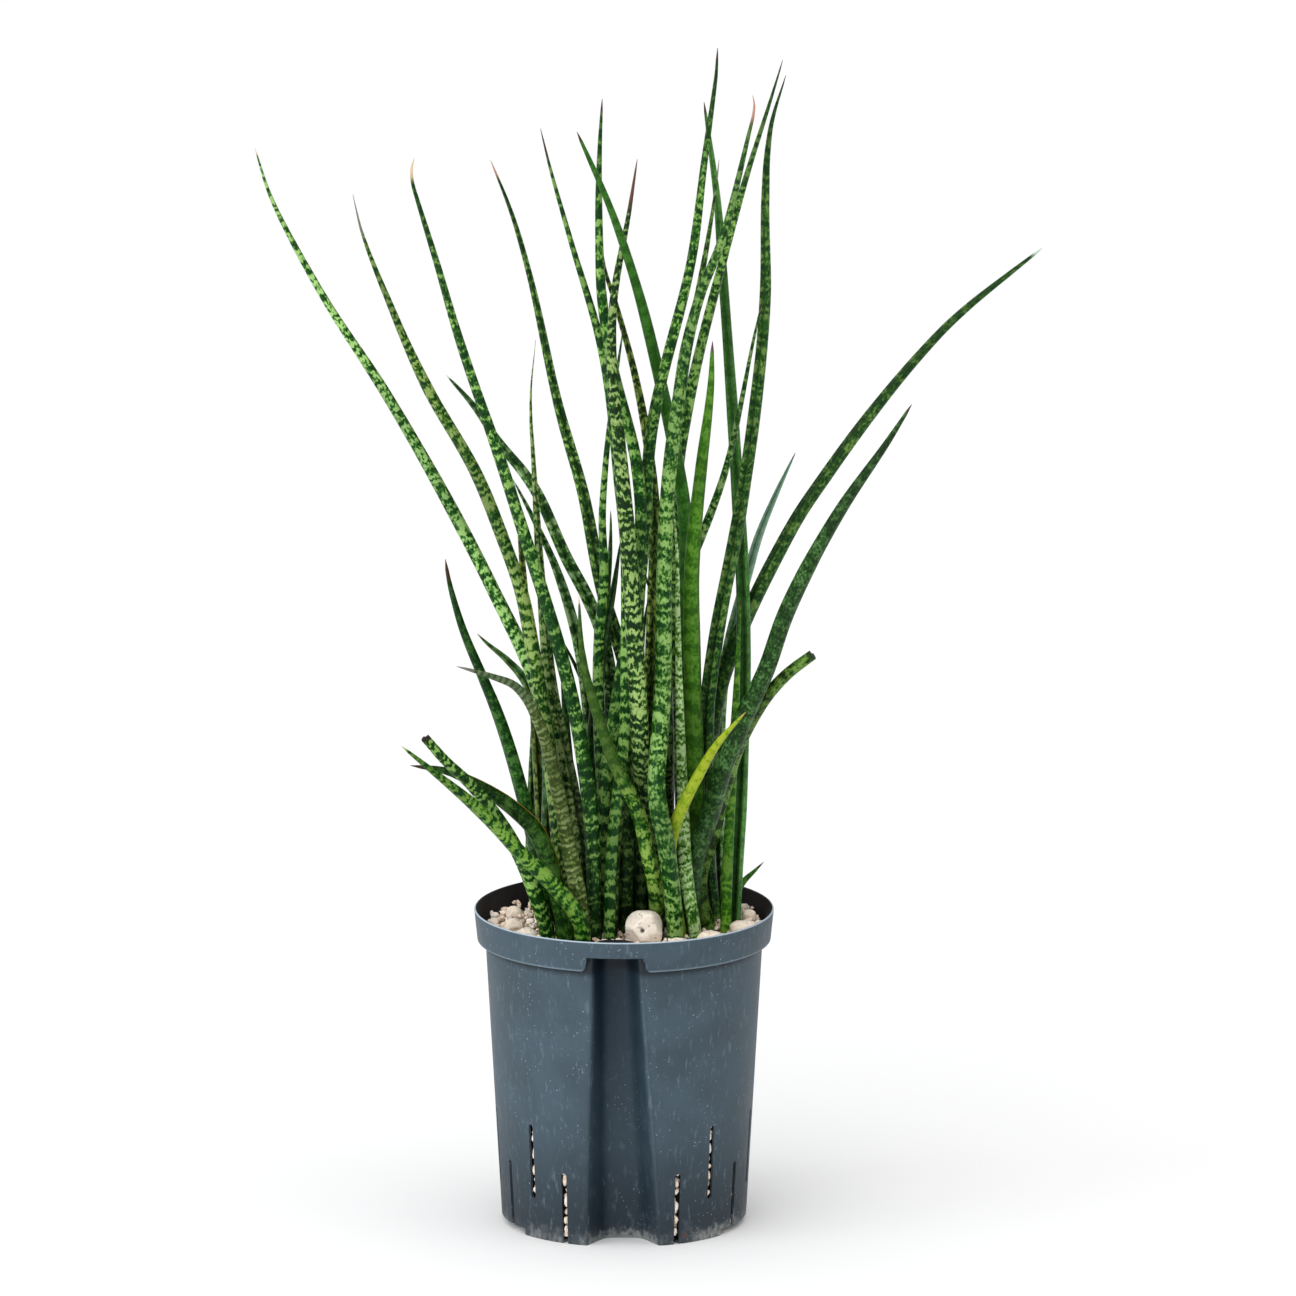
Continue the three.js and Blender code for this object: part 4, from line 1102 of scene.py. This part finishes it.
def settle(count, radii, fixed, seed):
    """Discs pushed apart inside a round field and off what is fixed in it."""
    chance = np.random.default_rng(seed)
    size = chance.uniform(*radii, count)
    angle = chance.uniform(0, 2 * math.pi, count)
    out = FIELD * np.sqrt(chance.uniform(0, 1, count))
    spots = np.column_stack([out * np.cos(angle), out * np.sin(angle)])
    post_spots = np.array([(x, y) for x, y, _ in fixed])
    post_sizes = np.array([radius for _, _, radius in fixed])
    for _ in range(PASSES):
        gap = spots[:, None] - spots[None]
        far = np.linalg.norm(gap, axis=2) + np.eye(count)
        overlap = np.clip(size[:, None] + size[None] - far, 0, None) * (1 - np.eye(count))
        spots += 0.3 * (gap / far[..., None] * overlap[..., None]).sum(axis=1)
        away = spots[:, None] - post_spots[None]
        far = np.linalg.norm(away, axis=2) + 1e-9
        overlap = np.clip(size[:, None] + post_sizes[None] - far, 0, None)
        spots += 0.7 * (away / far[..., None] * overlap[..., None]).sum(axis=1)
        reach = np.linalg.norm(spots, axis=1)
        spots *= np.minimum(1, (FIELD - size) / np.maximum(reach, 1e-9))[:, None]
    return spots, size


low_posts = posts + channel_on_plan
high_posts = posts + stones_on_plan + channel_on_plan
LAYERS = {
    "lower grains": (settle(260, (3 * MM, 5.8 * MM), low_posts, 3), -5.5 * MM, (-1, 1)),
    "upper grains": (settle(300, (1.6 * MM, 4.6 * MM), high_posts, 4), -0.6 * MM, (-1, 1)),
    "chips": (settle(320, (0.9 * MM, 1.9 * MM), high_posts, 5), 0, (0.6, 2.6)),
}
print("layers:", {name: len(spots) for name, ((spots, sizes), *_) in LAYERS.items()})

# %% Tests against the pot's wall
NEAR_HOUSING = -60 * MM
HOUSING_HALF = 30 * MM
THROUGH = 0.4 * WALL


def poke(points):
    """How far a grain's corners reach beyond the face of the pot's wall inside."""
    by_notch = (abs(points[:, 0] - CHANNEL_X[1]) < NOTCH_HALF + 2 * WALL) & (points[:, 1] < 0)
    narrow = by_notch | (points[:, 2] < BAND_FOOT + WALL)
    return float(np.max(np.hypot(points[:, 0], points[:, 1]) - np.where(narrow, SHOULDER, BAND) + WALL))


def in_channel(points):
    """Whether a grain reaches through the channel's wall."""
    if points[:, 1].min() > NEAR_HOUSING or abs(points[:, 0] - CHANNEL_X[0]).min() > HOUSING_HALF:
        return False
    for point in points:
        spot, normal, _, distance = hollow_tree.find_nearest(Vector(point))
        if distance > THROUGH and (Vector(point) - spot).dot(normal) > 0:
            return True
    return False


print("the pot's axis is", round(-poke(np.zeros((1, 3))) / MM), "mm inside the wall")

# %% Build the pumice as one mesh


def add_grain(heap, centre, size, chance, stretch=None, turn_by=None):
    """One grain, turned and stretched by chance or as told."""
    points, faces = grain_shapes[chance.randrange(GRAIN_SHAPES)]
    turned = Matrix.Rotation(chance.uniform(0, 6.3), 3, "Z") @ Matrix.Rotation(chance.uniform(0, 6.3), 3, "X")
    if stretch is None:
        stretch = (chance.uniform(0.85, 1.25), chance.uniform(0.8, 1.1), chance.uniform(0.65, 0.95))
    else:
        turned = Matrix.Rotation(turn_by, 3, "Z")
    placed = (points * np.array(stretch)) @ np.array(turned).T * 2 * size + np.array(centre)
    inward = np.array(centre) * (1, 1, 0) / math.hypot(centre[0], centre[1])
    placed = placed - inward * max(0, poke(placed))
    if in_channel(placed):
        return
    heap["faces"].append(faces + sum(map(len, heap["points"])))
    heap["points"].append(placed)
    heap["tone"].append(np.full(len(points), chance.random()))


def new_heap():
    return {"points": [], "faces": [], "tone": []}


def heap_mesh(name, heap):
    points, faces = (np.concatenate(heap[key]).tolist() for key in ("points", "faces"))
    mesh = new_mesh(name, points, faces)
    give(mesh, tone=np.concatenate(heap["tone"]))
    print(name, len(mesh.polygons), "triangles")
    return mesh


top = new_heap()
chance = random.Random(12)
for (spots, sizes), level, stray_by in LAYERS.values():
    for (x, y), size in zip(spots, sizes):
        add_grain(top, (x, y, SURFACE + level + chance.uniform(*stray_by) * MM), size, chance)
print(len(top["points"]), "grains on top")

# %% Grains behind and in the slots


def on_bearing(radius, angle, height):
    return (radius * math.cos(angle), radius * math.sin(angle), height)


def wall_inside(height):
    return FOOT + (SHOULDER - FOOT) * height / BAND_FOOT - WALL


behind = new_heap()
for index in range(SLOTS):
    bottom, height = slot_reach(index)
    angle = slot_angle(index)
    start = max(bottom, POT_FLOOR)
    level = start + 1 * MM
    while level < height:
        size = chance.uniform(2.2, 4.4) * MM
        radius = wall_inside(level) - size * 0.9 - chance.uniform(0, 0.6) * MM
        bearing = angle + chance.uniform(-1, 1) * 1.2 * MM / radius
        add_grain(behind, on_bearing(radius, bearing, level + size), size, chance)
        level += size * chance.uniform(1.3, 1.8)
    level = start + chance.uniform(1, 5) * MM
    while level < height - 6 * MM:
        tall = chance.uniform(2, 5) * MM
        centre = on_bearing(wall_inside(level) - 0.4 * MM, angle, level + tall)
        add_grain(behind, centre, 1, chance, (1.3 * MM, SLOT_WIDTH * 0.54, tall), angle)
        level += 2 * tall + chance.choice((0.2, 0.6, 2, 5)) * MM
print(len(behind["points"]), "grains at the slots")

# %% [markdown]
# Pumice is a froth of glass: dull, cream to pinkish tan, with pits and a few holes that are dark with painted
# shade. Each grain has a tone of its own, so that neighbours differ.

# %% Pumice finish


def pumice(name, light, warm, dark, pits):
    rock = Finish(name, light)
    place = rock.place()
    pores = rock.cells(place, pits)
    fine = rock.noise(place, 1400, 3, 0.6)
    rock.coat(rock.attribute("tone"), 0, 1, 1, warm)
    rock.coat(rock.noise(place, 260, 4, 0.6), 0.5, 0.75, 0.45, dark)
    rock.coat(pores, 0.22, 0.08, 0.5, dark)
    rock.coat(fine, 0.35, 0.7, 0.2, dark)
    # Painted shade in the pits, as dark as they are deep.
    rock.coat(rock.attribute("pit"), 0.012, 0.06, 0.9, (26, 20, 16))
    relief = rock.plus(rock.span(pores, 0.0, 0.35), rock.times(fine, 0.5))
    return rock.done(0.9, 0.25, relief, 0.8 * MM, 0.8)


grain_finish = pumice("pumice grains", (255, 246, 236), (250, 226, 202), (176, 136, 104), 480)
stone_finish = pumice("pumice stones", (254, 244, 230), (248, 232, 214), (150, 120, 96), 300)
# Painted shade: the core's pumice is coloured as it looks in the shade under the grains.
core_finish = pumice("shaded pumice", (70, 54, 42), (52, 40, 30), (20, 15, 12), 300)
print("three finishes of pumice")

# %% The core, dark with painted shade, and the heaps of grains
COVER = 7 * MM
core_foot, core_top = POT_FLOOR + 0.4 * MM, SURFACE - 8 * MM
core_wall = SHOULDER - WALL - COVER
core = turn("substrate_core", [(AXIS, core_foot), (FOOT - WALL - COVER, core_foot), (core_wall, BAND_FOOT),
                               (core_wall, core_top), (AXIS, core_top)])
cut(core, channel(WALL + 6 * MM, POT_TOP + ABOVE))
dress(core, core_finish)
settle_in(core, "substrate")
add_piece(heap_mesh("substrate_grains", top), grain_finish, "substrate")
add_piece(heap_mesh("substrate_slot_grains", behind), grain_finish, "substrate")
print("core:", len(core.data.polygons), "faces")

# %% [markdown]
# The larger stones each stand for their own solid. A ball with a few flats gives a water-worn pebble, and
# pits are pressed into it. The one in front is blockier, with faces of its own and a deep hole.

# %% Stones
PITS = 26
WORN_FLATS = 7
FRONT = "stone_1"
FRONT_HOLE = (Vector((-0.08, -0.96, 0.1)).normalized(), 0.13, 0.10)
FRONT_FLATS = [((-0.62, -0.3, 0.72), 0.41), ((0.85, -0.35, 0.3), 0.45), ((-0.72, -0.45, -0.53), 0.38),
               ((0.2, -0.95, 0.2), 0.42)]
FULLNESS, FRONT_FULLNESS = 2.3, 2.9


def stone_mesh(name, seed):
    chance = random.Random(seed)
    directions = [any_way(chance) for _ in range(WORN_FLATS + PITS)]
    flats = [(way, chance.uniform(0.42, 0.48)) for way in directions[:WORN_FLATS]]
    pits = [(way, chance.uniform(0.03, 0.09), chance.uniform(0.006, 0.022))
            for way in directions[WORN_FLATS:]]
    full, detail = FULLNESS, 4
    if name == FRONT:
        full, detail = FRONT_FULLNESS, 5
        flats += [(Vector(way).normalized(), limit) for way, limit in FRONT_FLATS]
        pits.append(FRONT_HOLE)
    work = bmesh.new()
    bmesh.ops.create_icosphere(work, subdivisions=detail, radius=0.5)
    hollows = []
    for vertex in work.verts:
        ray = vertex.co.normalized()
        reach = 0.5 / sum(abs(value) ** full for value in ray) ** (1 / full)
        for way, limit in flats:
            if ray.dot(way) > 0.3:
                reach = min(reach, limit / ray.dot(way))
        hollow = sum(depth * math.exp(-((ray - way).length / spread) ** 2) for way, spread, depth in pits)
        vertex.co = ray * (reach - hollow)
        hollows.append(hollow)
    bmesh.ops.smooth_vert(work, verts=work.verts, factor=0.5, use_axis_x=True, use_axis_y=True,
                          use_axis_z=True)
    points = np.array([vertex.co[:] for vertex in work.verts])
    mesh = bpy.data.meshes.new(name + "_pebble")
    work.to_mesh(mesh)
    work.free()
    low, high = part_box(name)
    points = (points - points.min(axis=0)) / (points.max(axis=0) - points.min(axis=0))
    mesh.vertices.foreach_set("co", np.ravel(points * np.array(high - low) + np.array(low)))
    mesh.shade_smooth()
    give(mesh, tone=np.full(len(points), chance.random()), pit=hollows)
    mesh.update()
    return mesh


for seed, name in enumerate(stone_nodes):
    add_piece(stone_mesh(name, seed), stone_finish, name)
print(len(stone_nodes), "stones")

# %% [markdown]
# The rootstock lies buried. Its solid stays as it is, with a fibrous brown finish.

# %% Rhizome finish
root = Finish("rootstock", (150, 98, 48))
fibres = root.noise(root.place(), (400, 400, 60), 4, 0.6)
root.coat(fibres, 0.35, 0.7, 1, (196, 148, 92))
dress(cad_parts["rhizome"], root.done(0.8, 0.5, fibres, 0.4 * MM, 0.6))
print("rhizome finished")

# %% Sizes and finish
low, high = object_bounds()
print("visual box", *[f"{v:.4f}" for v in low], "to", *[f"{v:.4f}" for v in high])
